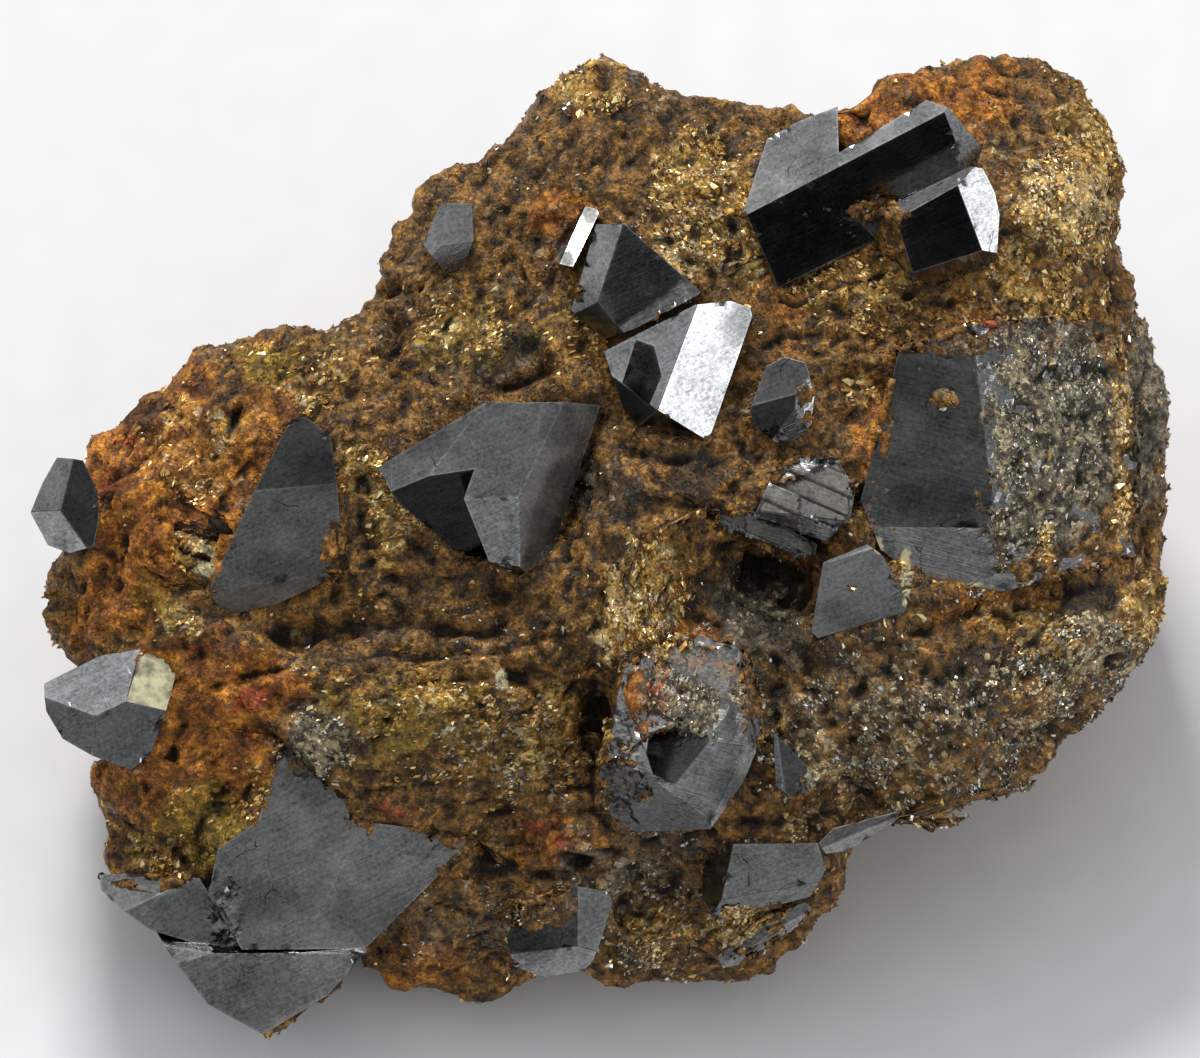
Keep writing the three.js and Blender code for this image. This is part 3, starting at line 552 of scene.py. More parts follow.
class Wire:
    """A socket in a finish. Arithmetic on it adds Math nodes."""

    def __init__(self, finish, socket):
        self.finish, self.socket = finish, socket

    def _math(self, operation, *values):
        return self.finish.node("Math", {"operation": operation}, dict(enumerate(values)))[0]

    def __add__(self, other):
        return self._math("ADD", self, other)

    def __radd__(self, other):
        return self._math("ADD", other, self)

    def __sub__(self, other):
        return self._math("SUBTRACT", self, other)

    def __rsub__(self, other):
        return self._math("SUBTRACT", other, self)

    def __mul__(self, other):
        return self._math("MULTIPLY", self, other)

    def __rmul__(self, other):
        return self._math("MULTIPLY", other, self)

    def top(self, other):
        return self._math("MAXIMUM", self, other)

    def band(self, low, high, start=0.0, end=1.0):
        """Runs smoothly from start to end while the value goes from low to high."""
        return self.finish.node(
            "MapRange",
            {"interpolation_type": "SMOOTHSTEP"},
            {"Value": self, "From Min": low, "From Max": high, "To Min": start, "To Max": end},
        )["Result"]


class Finish:
    """A node tree being filled, for a material or for the light around the object."""

    def __init__(self, tree):
        self.tree = tree
        tree.nodes.clear()

    def node(self, kind, settings=None, sockets=None):
        """One node: its settings first, then the values or wires of its sockets. Gives its outputs."""
        made = self.tree.nodes.new("ShaderNode" + kind)
        for name, value in (settings or {}).items():
            if name == "stops":
                self._set_stops(made.color_ramp, value)
            else:
                setattr(made, name, value)
        for name, value in (sockets or {}).items():
            if isinstance(value, Wire):
                self.tree.links.new(value.socket, made.inputs[name])
            else:
                made.inputs[name].default_value = value
        wires = {socket.name: Wire(self, socket) for socket in made.outputs}
        wires.update({place: Wire(self, socket) for place, socket in enumerate(made.outputs)})
        return wires

    @staticmethod
    def _set_stops(ramp, stops):
        while len(ramp.elements) < len(stops):
            ramp.elements.new(1.0)
        for element, (place, colour) in zip(ramp.elements, stops):
            element.position, element.color = place, colour

    def kept(self, name):
        return self.node("Attribute", {"attribute_name": name})["Fac"]

    def blend(self, first, second, share, how="MIX"):
        """Two colours mixed."""
        sockets = {0: share, 6: first, 7: second}
        return self.node("Mix", {"data_type": "RGBA", "blend_type": how}, sockets)[2]

    def grey(self, value):
        return self.node("CombineColor", None, {0: value, 1: value, 2: value})[0]

    def vector(self, operation, first, second):
        return self.node("VectorMath", {"operation": operation}, {0: first, 1: second})

    def face_place(self):
        """Millimetres across, up and out of the display face."""
        return self.node(
            "Mapping",
            {"vector_type": "TEXTURE"},
            {
                "Vector": self.node("TexCoord")["Object"],
                "Location": tuple(FACE_ORIGIN),
                "Rotation": (FACE_LEAN, 0, 0),
                "Scale": (MM, MM, MM),
            },
        )[0]

    def cloud(self, place, size, detail=3.0, rough=0.55):
        """Even noise about 0.5, with lumps of a size in millimetres."""
        sockets = {"Vector": place, "Scale": 1 / size, "Detail": detail, "Roughness": rough}
        return self.node("TexNoise", None, sockets)["Fac"]

    def surface(self, **sockets):
        named = {name.replace("_", " "): value for name, value in sockets.items()}
        shader = self.node("BsdfPrincipled", None, named)["BSDF"]
        self.node("OutputMaterial", None, {"Surface": shader})


def new_finish(name):
    material = bpy.data.materials.new(name)
    material.use_nodes = True
    return material, Finish(material.node_tree)


DARK_UMBER = tint(50, 40, 26)
UMBER = tint(72, 54, 32)
EARTH_BROWN = tint(142, 102, 48)
RUST_BROWN = tint(144, 84, 32)
RUST_ORANGE = tint(192, 124, 40)
BRICK_RED = tint(154, 68, 38)
DEEP_OCHRE = tint(146, 102, 36)
GOLD_OCHRE = tint(206, 168, 86)
OLIVE_STAIN = tint(148, 122, 42)
MICA_GREY = tint(136, 129, 112)
SLATE_GREY = tint(74, 72, 64)
PALE_FLAKE = tint(244, 226, 178)
CREAM_MICA = tint(206, 200, 160)
# Painted shade colour for the rock's crevices and hollows
CREVICE_SHADE = tint(16, 12, 8)
HAZE_GREY = tint(98, 99, 96)
BROWN_DUST = tint(96, 74, 50)
GREY_DUST = tint(112, 104, 88)
RUTILE_SHINE = 0.21
GOLD_STOPS = [
    (0.0, tint(60, 38, 14)), (0.35, tint(146, 100, 38)), (0.7, tint(220, 176, 88)), (1.0, tint(255, 238, 178)),
]
PALE_STOPS = [
    (0.0, tint(50, 46, 40)), (0.5, tint(112, 106, 94)), (0.8, tint(186, 180, 164)), (1.0, tint(248, 246, 236)),
]


def rock_finish():
    """Weathered mica rock: grains and flakes under rust, ochre and olive stains, with painted shade in its
    hollows and crevices.
    """
    material, rock = new_finish("mica_rock")
    place = rock.face_place()
    stir = rock.node("TexNoise", None, {"Vector": place, "Scale": 2.5, "Detail": 0.0})["Color"]
    stir = rock.vector("MULTIPLY", rock.vector("SUBTRACT", stir, (0.5, 0.5, 0.5))[0], (0.5, 0.5, 0.5))[0]
    stirred = rock.vector("ADD", place, stir)[0]
    grain = rock.node("TexVoronoi", {"feature": "F1"}, {"Vector": stirred, "Scale": 1 / 0.24})
    flake = rock.node("TexVoronoi", {"feature": "F1"}, {"Vector": stirred, "Scale": 1 / 0.55})
    grain_pick = rock.node("SeparateColor", None, {0: grain["Color"]})
    flake_pick = rock.node("SeparateColor", None, {0: flake["Color"]})
    mottle = rock.cloud(place, 0.9, 4.0, 0.65)
    clot = rock.cloud(place, 2.6, 4.0, 0.6)
    dust = rock.cloud(place, 0.16, 1.0, 0.6)
    streak = rock.kept("streak")
    hollow = rock.kept("hollow")
    basin = rock.kept("basin")

    spread = (clot - 0.5) * 1.6 + (mottle - 0.5) * 1.2
    rust = (rock.kept("rust") + spread * 0.55 + rock.kept("patch") * 0.25).band(0.3, 0.75)
    ochre = (rock.kept("ochre") + spread * 0.6 - rock.kept("patch") * 0.2).band(0.35, 0.85)
    olive = (rock.kept("olive") + (mottle - 0.5) * 1.3 - streak * 0.15).band(0.35, 0.85)
    grey = (rock.kept("grey") - spread * 0.45 - rock.kept("ochre") * 0.4).band(0.3, 0.85)
    red = (rock.kept("red") + spread * 0.9).band(0.45, 1.0)
    warm = (rock.cloud(place, 1.4, 2.0, 0.6) + streak * 0.12).band(0.42, 0.6)

    colour = rock.blend(UMBER, EARTH_BROWN, (mottle + streak * 0.18).band(0.36, 0.6))
    colour = rock.blend(colour, rock.blend(RUST_BROWN, RUST_ORANGE, warm), rust * 0.85)
    colour = rock.blend(colour, OLIVE_STAIN, olive * 0.75)
    colour = rock.blend(colour, rock.blend(DEEP_OCHRE, GOLD_OCHRE, warm), ochre * 0.8)
    colour = rock.blend(colour, rock.blend(SLATE_GREY, MICA_GREY, warm), grey * 0.85)
    colour = rock.blend(colour, BRICK_RED, red * 0.8)
    # Darker areas, partly dark stain and partly painted shade
    colour = rock.blend(colour, DARK_UMBER, (rock.kept("dark") - spread * 0.35).band(0.2, 0.8) * 0.85)
    colour = rock.blend(colour, CREAM_MICA, (rock.kept("cream") + (mottle - 0.5) * 0.8).band(0.45, 0.7) * 0.85)

    # Grain tone that differs at random, with painted shade darkening the hollows
    grain_tone_and_hollow_shade = grain_pick[0].band(0.0, 1.0, 0.55, 1.4) * flake_pick[1].band(0.0, 1.0, 0.7, 1.3)
    grain_tone_and_hollow_shade = grain_tone_and_hollow_shade * (0.95 + (dust - 0.5) * 0.9 + streak * 0.15 - hollow * 0.25)
    grain_tone_and_hollow_shade = grain_tone_and_hollow_shade * rock.cloud(place, 1.7, 2.0, 0.6).band(0.36, 0.6, 0.58, 1.15)
    colour = rock.blend(colour, rock.grey(grain_tone_and_hollow_shade), 1.0, "MULTIPLY")
    clump = rock.cloud(place, 3.4, 1.0, 0.6)
    sparkle = rock.kept("pale_mica") * 0.3 + ochre * 0.26 + grey * 0.1 + (clump - 0.5) * 0.4 - 0.14
    mica = (flake_pick[2] + sparkle).band(0.86, 0.94)
    glint = (grain_pick[2] + sparkle * 0.6).band(0.98, 1.04)
    colour = rock.blend(colour, rock.blend(PALE_FLAKE, colour, 0.3), glint)
    colour = rock.blend(colour, rock.blend(colour, PALE_FLAKE, 0.35), mica)
    # Painted shade: hollows and basins darkened nearly to black, standing in for the shade in crevices
    deep = (hollow * 0.45 + basin * 0.95 - 0.08).band(0.0, 1.0)
    colour = rock.blend(colour, CREVICE_SHADE, deep * 0.92)

    tilt = rock.vector("SUBTRACT", grain["Color"], (0.5, 0.5, 0.5))[0]
    step = rock.vector("SUBTRACT", stirred, grain["Position"])[0]
    facet = rock.vector("DOT_PRODUCT", step, tilt)["Value"]
    height = facet * 1.9 + (dust - 0.5) * 0.12
    bump = rock.node("Bump", None, {"Strength": 0.85, "Distance": MM * 0.5, "Height": height})["Normal"]
    rough = flake_pick[0].band(0.0, 1.0, 0.42, 0.8) - glint * 0.2 - mica * 0.15 + deep * 0.2
    metal = mica * 0.6 * (1 - deep)
    rock.surface(Base_Color=colour, Roughness=rough, Metallic=metal, Normal=bump, Specular_IOR_Level=0.35)
    return material


def rutile_finish(name, gloss, dusting, dust_colour, lines, run):
    """Rutile: black with an adamantine shine, finely lined, with mica dust where the rock meets it."""
    material, rutile = new_finish(name)
    place = rutile.face_place()
    turned = rutile.node("Mapping", None, {"Vector": place, "Rotation": (0, 0, math.radians(-run))})[0]
    along = rutile.node("Mapping", None, {"Vector": turned, "Scale": (0.12, 3.0, 1.2)})[0]
    across = rutile.node("Mapping", None, {"Vector": turned, "Scale": (4.0, 0.3, 0.6)})[0]
    fine = rutile.cloud(along, 0.35, 2.0, 0.7)
    scratch = rutile.cloud(across, 0.8, 1.0, 0.6)
    bloom = rutile.cloud(place, 7.0, 1.0, 0.55)
    smear = rutile.cloud(place, 2.2, 2.0, 0.6)
    stain = rutile.cloud(place, 1.3, 3.0, 0.65)
    speck = rutile.cloud(place, 0.3, 2.0, 0.7)
    buried, edge = rutile.kept("buried"), rutile.kept("edge")
    battered, cream = rutile.kept("battered"), rutile.kept("cream")
    grain = rutile.node("TexVoronoi", {"feature": "F1"}, {"Vector": place, "Scale": 1 / 0.22})
    pick = rutile.node("SeparateColor", None, {0: grain["Color"]})
    stir = rutile.node("TexNoise", None, {"Vector": place, "Scale": 0.5, "Detail": 1.0})["Color"]
    veined = rutile.vector("ADD", place, rutile.vector("MULTIPLY", stir, (1.6, 1.6, 1.6))[0])[0]
    seam = rutile.node("TexVoronoi", {"feature": "DISTANCE_TO_EDGE"}, {"Vector": veined, "Scale": 1 / 6.5})
    crack = seam["Distance"].band(0.0, 0.008, 1.0, 0.0) * rutile.cloud(place, 4.0, 2.0).band(0.58, 0.64)
    drawn = rutile.node("Mapping", None, {"Vector": turned, "Scale": (3.2, 0.16, 0.4)})[0]
    hairline = rutile.cloud(drawn, 0.5, 2.0)

    coat = (buried * 0.55 + smear * dusting + (speck - 0.5) * 1.6 + battered * 0.35).band(0.5, 0.95)
    cream_coat = (cream + rutile.kept("cream_face") * 0.8 + (stain - 0.5) * 1.1).band(0.4, 0.75)
    earth = rutile.blend(dust_colour, RUST_BROWN, stain.band(0.5, 0.66) * 0.7)
    crumb = rutile.blend(earth, rutile.grey(pick[0].band(0.0, 1.0, 0.2, 1.8)), 1.0, "MULTIPLY")
    # Dulled patches take the shine off: partly dirt, partly painted shade
    dulled, haze = rutile.kept("dulled"), rutile.kept("haze")
    cloudy = 1 + (bloom - 0.5) * 0.9 + (smear - 0.5) * 1.0 + (speck - 0.5) * 1.7 + (fine - 0.5) * 1.2
    cloudy = cloudy.top(0.25) * (1 - dulled * 0.75) + hairline.band(0.72, 0.8) * 0.8
    bevelled = rutile.kept("bevelled")
    worn = (1 + edge.band(0.6, 1.0) * 0.5) * (1 - bevelled * 0.5)
    # Reflectivity of the faces, set face by face: partly dulling, partly painted highlight and shade, above
    # fresh rutile on brightened faces
    polish = rutile.kept("polish") * RUTILE_SHINE * cloudy * worn * (1 - crack * 0.85)
    film = rutile.blend(rutile.blend(HAZE_GREY, dust_colour, 0.4), rutile.grey(cloudy), 1.0, "MULTIPLY")
    colour = rutile.blend(rutile.grey(polish), film, haze)
    colour = rutile.blend(colour, crumb, coat * 0.85)
    chalk = rutile.blend(CREAM_MICA, rutile.grey(stain.band(0.35, 0.65, 0.45, 1.15)), 1.0, "MULTIPLY")
    colour = rutile.blend(colour, chalk, cream_coat * 0.9)
    metal = (1 - coat * 0.95) * (1 - cream_coat * 0.85) * (1 - haze * 0.85)
    rough = gloss + smear * 0.1 + coat * 0.4 + edge * 0.05 + battered * 0.06 + dulled * 0.25 + haze * 0.35
    rough = rough + bevelled * 0.35
    height = (fine - 0.5) * lines + (scratch - 0.5) * (lines * 0.4) + (speck - 0.5) * (0.15 * dusting)
    bump = rutile.node("Bump", None, {"Strength": 0.5, "Distance": MM * 0.12, "Height": height})["Normal"]
    rutile.surface(Base_Color=colour, Roughness=rough, Metallic=metal, Normal=bump)
    return material


def store_faces(mesh, crystal):
    """Marks the faces that the listed places show with their cream mica, grey film and shine, the shine partly
    painted highlight and shade.
    """
    flat = np.empty(len(mesh.polygons) * 3, np.float32)
    mesh.polygons.foreach_get("normal", flat)
    facing = flat.reshape(-1, 3)
    polish, cream, haze = np.ones(len(facing)), np.zeros(len(facing)), np.zeros(len(facing))
    for x, y, shine, coat, film in FACES:
        across, up = in_picture(x, y)
        start = FACE_ORIGIN + from_face(np.array([[across, up, 60.0]]))[0] * MM
        _, normal, _, _ = crystal.ray_cast(Vector(start), Vector(-OUT_OF_FACE))
        if normal is not None:
            alike = facing @ np.array(normal) > SAME_FACE
            polish[alike], cream[alike], haze[alike] = shine, coat, film
    for name, values in (("polish", polish), ("cream_face", cream), ("haze", haze)):
        layer = mesh.attributes.new(name, "FLOAT", "FACE")
        layer.data.foreach_set("value", values.astype(np.float32))


def crystal_mesh(node, rock):
    """A crystal with worn edges, in fine flat facets, and its distance from edges and rock stored."""
    shell = welded(node)
    bmesh.ops.dissolve_limit(shell, angle_limit=FLAT_EDGE, verts=shell.verts, edges=shell.edges)
    sharp = [e for e in shell.edges if len(e.link_faces) == 2 and e.calc_face_angle() > SHARP_EDGE]
    lines = [(e.verts[0].co.copy(), e.verts[1].co.copy()) for e in sharp]
    bevelled = shell.faces.layers.float.new("bevelled")
    rounded = bmesh.ops.bevel(shell, geom=sharp, offset=CRYSTAL_BEVEL, offset_type="OFFSET", segments=2,
                              profile=0.6, affect="EDGES", clamp_overlap=True)
    for face in rounded["faces"]:
        face[bevelled] = 1.0
    bmesh.ops.triangulate(shell, faces=shell.faces)
    grain = LAMINATED_GRAIN if node in LAMINATED else CRYSTAL_GRAIN
    for _ in range(8):
        shell.normal_update()
        long_edges = [e for e in shell.edges if e.calc_length() > grain]
        middles = np.array([(e.verts[0].co + e.verts[1].co) / 2 for e in long_edges]).reshape(-1, 3)
        outward = np.array([e.link_faces[0].normal + e.link_faces[1].normal for e in long_edges])
        hidden = depth_under(rock, middles, unit(outward.reshape(-1, 3))) > COVER
        long_edges = [
            e for e, under in zip(long_edges, hidden) if not under or e.calc_length() > BURIED_GRAIN
        ]
        if not long_edges:
            break
        bmesh.ops.subdivide_edges(shell, edges=long_edges, cuts=1)
        bmesh.ops.triangulate(shell, faces=shell.faces)
    mesh = bpy.data.meshes.new(node + "_worn")
    shell.to_mesh(mesh)
    shell.free()

    points = points_of(mesh)
    store_faces(mesh, search_tree(node))
    aside = np.full(len(points), 1.0)
    for start, end in lines:
        start, end = np.array(start), np.array(end)
        run = end - start
        share = np.clip((points - start) @ run / max(run @ run, 1e-18), 0, 1)
        aside = np.minimum(aside, np.linalg.norm(points - start - share[:, None] * run, axis=1))
    places = on_face(points)
    chips = clouds(places / 1.7 + 19, 3, 0.7)
    worn = np.exp(-(aside / EDGE_WIDTH) ** 2) * np.clip(chips - 0.45, 0, 1) * 0.4 * MM
    battered, relief, crust = np.zeros((3, len(points)))
    for *area, depth, mica in BATTERED:
        share = stained(places, [(*area, 1.0)], chips)
        battered = np.maximum(battered, share)
        relief = np.maximum(relief, depth * share)
        crust = np.maximum(crust, mica * share)
    broken = clouds(places / 1.5 + 83, 4, 0.7)
    steps = layered(places + 23, layer_angle(places), 4.0, 0.8)
    sunk = relief * (0.55 * broken + 0.45 * steps - 0.35) * MM
    if node in LAMINATED:
        run, thickness, depth = LAMINATED[node]
        turn = math.radians(run)
        layer = (places[:, 1] * math.cos(turn) - places[:, 0] * math.sin(turn)) / thickness + 0.05 * chips
        part = np.floor(places[:, 0] / 4.3 + 0.3)
        ledge = sampled(noise.cell, np.stack([np.floor(layer), part, layer * 0], 1) + 0.5)
        split = smooth_step(0.1, 0.0, np.abs(layer - np.round(layer)))
        sunk = sunk - depth * (0.5 + 0.5 * ledge) * MM - 0.08 * split * MM
    put_points(mesh, points + normals_of(mesh) * (sunk - worn)[:, None])
    spots, _, gaps = nearest(rock, points)
    bare = depth_under(rock, points, normals_of(mesh)) < 0.45 * MM
    beneath = np.einsum("ij,ij->i", unit(spots - points), normals_of(mesh)) < -0.6
    gaps = np.where(bare & beneath, np.maximum(np.abs(gaps), FAR), gaps)
    creep = clouds(places / 1.6 + 37)
    collar = smooth_step(0.3, 0.8, 0.75 - gaps / (0.65 * MM) + 0.7 * creep) * 0.7
    store(mesh, "battered", battered)
    store(mesh, "crust", np.where(bare, np.maximum(crust, collar), 0))
    store(mesh, "cream", stained(places, CREAM, chips))
    # Dull patches, partly dirt and partly painted shade, and dulled chips along the edges
    store(mesh, "dulled", np.maximum(stained(places, DULLED_AND_SHADED, chips), smooth_step(0.005, 0.05, worn / MM)))
    store(mesh, "edge", np.exp(-aside / EDGE_WIDTH))
    store(mesh, "buried", 1 - smooth_step(0.0, 0.9 * MM, gaps))
    mesh.shade_flat()
    return mesh


def values_of(mesh, name):
    values = np.empty(len(mesh.vertices), np.float32)
    mesh.attributes[name].data.foreach_get("value", values)
    return values.astype(float)


def tree_of(mesh):
    corners = [v.co.copy() for v in mesh.vertices]
    return BVHTree.FromPolygons(corners, [list(p.vertices) for p in mesh.polygons])


def crust_mesh(crystals):
    """The mica rock left on the crystals: a rough closed shell on their crusted parts, thin at its rim."""
    corners, faces, apart = [], [], []
    for crystal in crystals:
        crust = values_of(crystal, "crust")
        sides = np.array([polygon.vertices[:] for polygon in crystal.polygons])
        sides = sides[(crust[sides] > CRUST_RIM).all(1)]
        if not len(sides):
            continue
        used, sides = np.unique(sides, return_inverse=True)
        sides = sides.reshape(-1, 3)
        points, normals, crust = points_of(crystal)[used], normals_of(crystal)[used], crust[used]
        places = on_face(points)
        lumps = clouds(places / 2.6 + 51, 4)
        bits = cells(places / 0.9 + 7)
        thick = smooth_step(CRUST_RIM, 0.8, crust) * (0.42 + 0.55 * lumps + 0.45 * (0.5 - bits)) - 0.1
        top = points + normals * thick[:, None] * MM
        bottom = points - normals * CRUST_FOOT * MM
        start, count = sum(len(part) for part in corners), len(points)
        loops = np.concatenate([sides[:, [0, 1]], sides[:, [1, 2]], sides[:, [2, 0]]])
        known = set(map(tuple, loops.tolist()))
        rim = np.array([pair for pair in loops.tolist() if (pair[1], pair[0]) not in known])
        walls = np.concatenate([np.stack([rim[:, 1], rim[:, 0], rim[:, 0] + count], 1),
                                np.stack([rim[:, 1], rim[:, 0] + count, rim[:, 1] + count], 1)])
        apart += [thick, np.full(count, -CRUST_FOOT)]
        corners += [top, bottom]
        faces += [sides + start, sides[:, ::-1] + count + start, walls + start]
    mesh = bpy.data.meshes.new("mica_crust")
    mesh.from_pydata(np.concatenate(corners).tolist(), [], np.concatenate(faces).tolist())
    mesh.update()
    points, edges = points_of(mesh), edges_of(mesh)
    places = on_face(points)
    dip = sunken(mesh, points, edges, HOLLOW_PASSES)
    store_stains(mesh, places)
    store(mesh, "apart", np.concatenate(apart))
    store(mesh, "hollow", np.clip(dip / 0.25, -1, 1))
    store(mesh, "basin", np.clip(dip / 0.5, -1, 1))
    store(mesh, "streak", np.clip(layered(places + 57, layer_angle(places), 2.2, 0.45), -1, 1))
    mesh.shade_smooth()
    return mesh


class Ground:
    """Points of several meshes that flakes and grains can sit on, with their stains."""

    def __init__(self, *meshes):
        self.points = np.concatenate([points_of(mesh) for mesh in meshes])
        self.normals = np.concatenate([normals_of(mesh) for mesh in meshes])
        self.places = on_face(self.points)
        self.stains = {
            name: np.concatenate([values_of(mesh, name) for mesh in meshes]) for name in STAINS + RELIEF
        }
        self.apart = np.concatenate([values_of(mesh, "apart") for mesh in meshes])
        self.spread = np.concatenate([self._spread(mesh) for mesh in meshes])

    @staticmethod
    def _spread(mesh):
        """The area round each point."""
        area = np.empty(len(mesh.polygons), np.float32)
        sides = np.empty(len(mesh.polygons), np.int32)
        corner = np.empty(len(mesh.loops), np.int32)
        mesh.polygons.foreach_get("area", area)
        mesh.polygons.foreach_get("loop_total", sides)
        mesh.loops.foreach_get("vertex_index", corner)
        return np.bincount(corner, np.repeat(area / sides, sides), len(mesh.vertices))


def flake_mesh(name, ground, weight, count, seed, size, slim, crown, lean, carried=()):
    """Small closed flakes or grains on the ground, thickest in the middle, each with a tone of its own."""
    draw = np.random.default_rng(seed)
    picked = draw.choice(len(weight), count, p=weight / weight.sum())
    jitter = draw.uniform(-0.2, 0.2, (count, 2)) * MM
    up = unit(ground.normals[picked] + draw.normal(0, lean, (count, 3)))
    angle = layer_angle(ground.places[picked]) + draw.normal(0, 0.35, count)
    along = from_face(np.stack([np.cos(angle), np.sin(angle), np.zeros(count)], 1))
    along = unit(along - np.einsum("ij,ij->i", along, up)[:, None] * up)
    aside = np.cross(up, along)
    length = size * draw.lognormal(0, 0.35, count) * MM
    width = length * draw.uniform(slim, 2 * slim, count)
    middle = ground.points[picked] + along * jitter[:, :1] + aside * jitter[:, 1:]
    rim = []
    for turn in FLAKE_TURNS:
        bend = 2 * math.pi * (turn + draw.uniform(-0.06, 0.06, count))
        reach = draw.uniform(0.75, 1.2, count)
        rim.append(middle + along * (np.cos(bend) * reach * length / 2)[:, None]
                   + aside * (np.sin(bend) * reach * width / 2)[:, None])
    crest = middle + up * (crown * length)[:, None]
    foot = middle - up * (FLAKE_FOOT * length)[:, None]
    corners = np.stack([*rim, crest, foot], 1).reshape(-1, 3)
    pattern = np.array(FLAKE_FACES)
    faces = (np.arange(count)[:, None, None] * FLAKE_CORNERS + pattern[None]).reshape(-1, 3)
    mesh = bpy.data.meshes.new(name)
    mesh.from_pydata(corners.tolist(), [], faces.tolist())
    in_row = math.ceil(math.sqrt(count))
    cell = np.stack([np.arange(count) % in_row, np.arange(count) // in_row], 1)
    spots = np.array([(0.1, 0.1), (0.9, 0.1), (0.9, 0.9), (0.1, 0.9), (0.5, 0.5), (0.5, 0.5)])
    spread = (cell[:, None] + spots[pattern.ravel()][None]) / in_row
    mesh.uv_layers.new(name="OFBake").data.foreach_set("uv", spread.astype(np.float32).ravel())
    store(mesh, "tone", np.repeat(draw.uniform(0, 1, count), FLAKE_CORNERS))
    for stain in carried:
        store(mesh, stain, np.repeat(ground.stains[stain][picked], FLAKE_CORNERS))
    mesh.shade_flat()
    return mesh


def flake_finish(name, stops, gloss, shine):
    material, flake = new_finish(name)
    tone = flake.kept("tone")
    grime = flake.cloud(flake.face_place(), 0.5, 1.0)
    colour = flake.node("ValToRGB", {"stops": stops}, {"Fac": tone + (grime - 0.5) * 0.5})["Color"]
    flake.surface(Base_Color=colour, Roughness=gloss + grime * 0.2, Metallic=shine * tone, IOR=1.6)
    return material


crystal_tree = search_tree(*CRYSTALS)
rock_surface = rock_mesh(crystal_tree)
roughen(rock_surface, crystal_tree)
new_piece("mica_rock", rock_surface, "mica_rock", "matrix")
rock_surface.materials.append(rock_finish())
rock_tree = tree_of(rock_surface)

finishes = {
    "bright": rutile_finish(
        "bright_rutile", gloss=0.06, dusting=0.25, dust_colour=BROWN_DUST, lines=0.12, run=25),
    "dull": rutile_finish(
        "dull_rutile", gloss=0.16, dusting=0.45, dust_colour=GREY_DUST, lines=0.35, run=-15),
}
crystal_meshes = {}
for node, kind in CRYSTALS.items():
    worn = crystal_meshes[node] = crystal_mesh(node, rock_tree)
    worn.materials.append(finishes[kind])
    new_piece(node + "_worn", worn, kind + "_rutile", node)

crust = crust_mesh(crystal_meshes.values())
crust.materials.append(rock_surface.materials[0])
new_piece("mica_crust", crust, "mica_rock")

ground = Ground(rock_surface, crust)
bare = ground.spread * (ground.apart > 0.1) * (ground.points[:, 2] > 1.5 * MM)
clumps = smooth_step(-0.15, 0.4, clouds(ground.places / 3.2 + 17))
raised = smooth_step(0.6, -0.2, ground.stains["hollow"])
shown = smooth_step(-14, -6, ground.places[:, 2])
stain = ground.stains
clean = bare * raised * (0.06 + clumps ** 1.5) * (1 - 0.8 * stain["dark"])
golden = 0.01 + 1.2 * stain["ochre"] ** 2 + 0.2 * stain["olive"]
gold_weight = clean * golden * (1 - 0.65 * stain["rust"])
pale_weight = clean * (0.004 + stain["pale_mica"] + 0.3 * stain["grey"])
gold = flake_mesh("gold_mica", ground, gold_weight, **GOLD_FLAKES)
gold.materials.append(flake_finish("gold_mica", GOLD_STOPS, 0.22, 0.75))
new_piece("gold_mica", gold, "mica_rock")
pale = flake_mesh("pale_mica", ground, pale_weight, **PALE_FLAKES)
pale.materials.append(flake_finish("pale_mica", PALE_STOPS, 0.2, 0.65))
new_piece("pale_mica", pale, "mica_rock")
grains = flake_mesh("rock_grains", ground, bare * (0.1 + shown), **ROCK_GRAINS, carried=STAINS + RELIEF)
grains.materials.append(rock_surface.materials[0])
new_piece("rock_grains", grains, "mica_rock")


def pale_floor():
    mesh = bpy.data.meshes.new("floor")
    half = FLOOR_HALF
    corners = [(-half, -half, 0), (half, -half, 0), (half, half, 0), (-half, half, 0)]
    mesh.from_pydata(corners, [], [(0, 1, 2, 3)])
    floor = bpy.data.objects.new("floor", mesh)
    bpy.context.scene.collection.objects.link(floor)
    material, paper = new_finish("pale_paper")
    fibre = paper.cloud(paper.node("TexCoord")["Object"], 0.004, 0.0)
    colour = paper.blend(tint(226, 226, 228), tint(232, 232, 234), fibre)
    paper.surface(Base_Color=colour, Roughness=0.7)
    mesh.materials.append(material)


def softbox(name, azimuth, elevation, distance, width, height, radiance, colour):
    """A studio softbox aimed at the object, of an even radiance."""
    lamp = bpy.data.lights.new(name, "AREA")
    lamp.shape = "RECTANGLE"
    lamp.size, lamp.size_y = width, height
    lamp.energy = radiance * math.pi * width * height
    lamp.color = colour
    holder = bpy.data.objects.new(name, lamp)
    turn, rise = math.radians(azimuth), math.radians(elevation)
    away = Vector((math.cos(turn) * math.cos(rise), math.sin(turn) * math.cos(rise), math.sin(rise)))
    holder.location = away * distance + Vector((0, 0, 0.03))
    holder.rotation_mode = "QUATERNION"
    holder.rotation_quaternion = away.to_track_quat("Z", "Y")
    holder.visible_camera = False
    bpy.context.scene.collection.objects.link(holder)


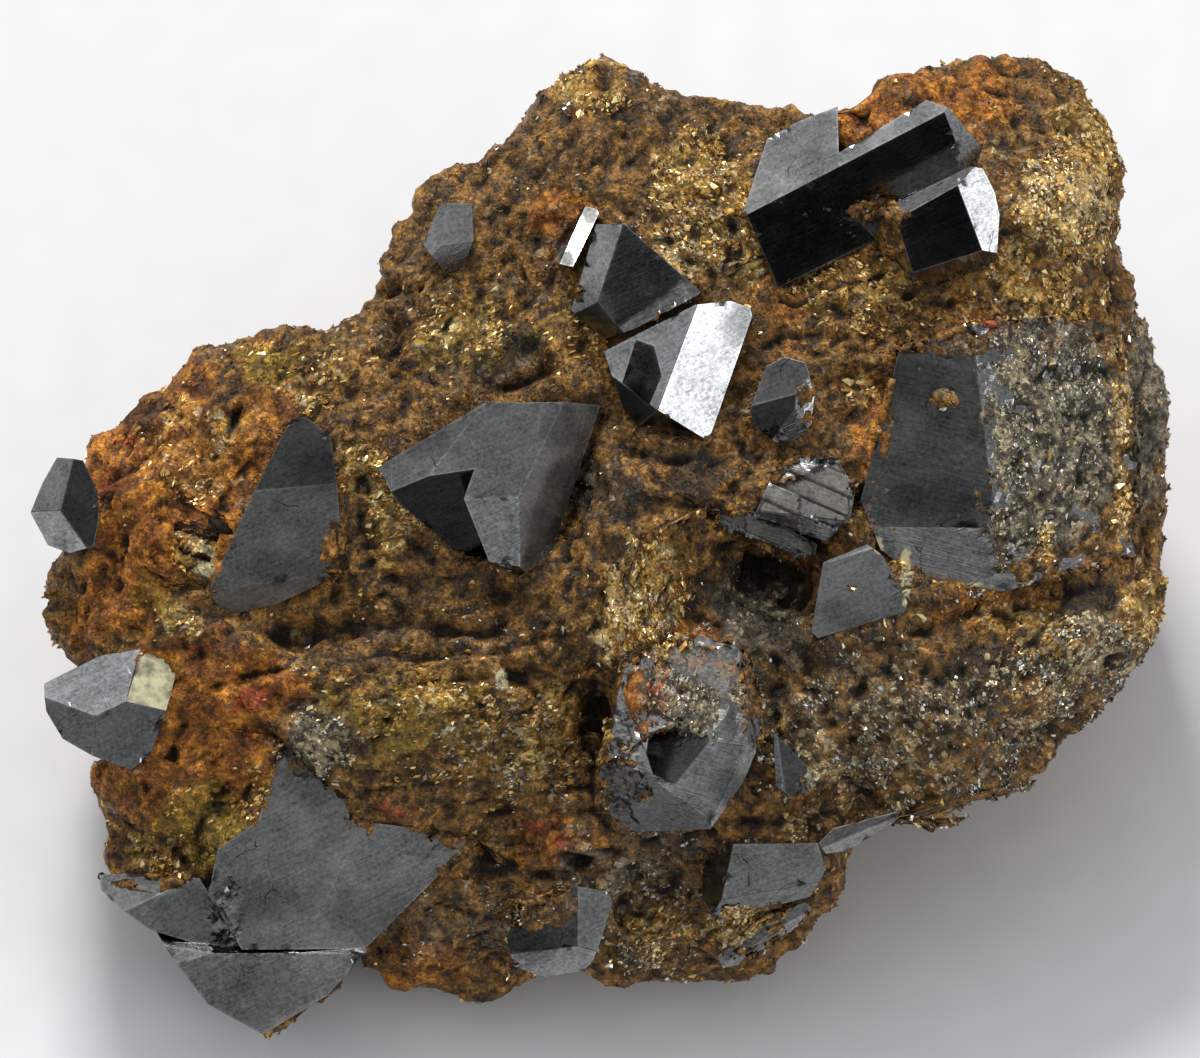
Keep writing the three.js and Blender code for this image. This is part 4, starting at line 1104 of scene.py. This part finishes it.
def room_light():
    """The light of the room: bright above and behind, a dark side low in front."""
    world = bpy.data.worlds.new("studio")
    bpy.context.scene.world = world
    world.use_nodes = True
    room = Finish(world.node_tree)
    way = room.node("TexCoord")["Generated"]
    flat = room.vector("NORMALIZE", room.vector("MULTIPLY", way, (1, 1, 0))[0], (0, 0, 0))[0]
    rise = room.node("SeparateXYZ", None, {0: way})["Z"]
    ahead = (math.cos(FRONT_SIDE), math.sin(FRONT_SIDE), 0)
    front = room.vector("DOT_PRODUCT", flat, ahead)["Value"]
    left = room.vector("DOT_PRODUCT", way, (-0.62, 0.55, 0.56))["Value"]
    dark = front.band(0.66, 0.84) * rise.band(0.40, 0.54, 1.0, 0.0)
    strength = 0.36 + rise.band(0.5, 0.98) * 0.3 + left.band(0.2, 0.9) * 0.32
    strength = strength * (1 - dark * 0.92)
    glow = room.node("Background", None, {"Color": (0.97, 0.985, 1.0, 1.0), "Strength": strength})[0]
    plain = room.node("Background", None, {"Color": (0.93, 0.93, 0.94, 1.0), "Strength": 0.85})[0]
    seen = room.node("LightPath")["Is Camera Ray"]
    mixed = room.node("MixShader", None, {0: seen, 1: glow, 2: plain})[0]
    room.node("OutputWorld", None, {"Surface": mixed})


def photo_camera():
    camera = bpy.data.cameras.new("camera")
    holder = bpy.data.objects.new("camera", camera)
    out = Vector(OUT_OF_FACE)
    camera.sensor_width = CAMERA_SENSOR
    camera.lens = CAMERA_SENSOR * CAMERA_DISTANCE / (PICTURE_WIDTH * PICTURE_MM * MM)
    camera.clip_end = 100.0
    holder.location = Vector(FACE_ORIGIN) + out * CAMERA_DISTANCE
    holder.rotation_mode = "QUATERNION"
    holder.rotation_quaternion = out.to_track_quat("Z", "Y")
    bpy.context.scene.collection.objects.link(holder)
    bpy.context.scene.camera = holder


pale_floor()
room_light()
softbox("key_softbox", azimuth=102, elevation=47, distance=1.0, width=0.22, height=0.22,
        radiance=48.0, colour=(1.0, 0.985, 0.96))
softbox("right_softbox", azimuth=-30, elevation=17, distance=1.0, width=0.5, height=0.3,
        radiance=4.5, colour=(0.95, 0.97, 1.0))
photo_camera()
bpy.context.scene.view_settings.view_transform = "Standard"
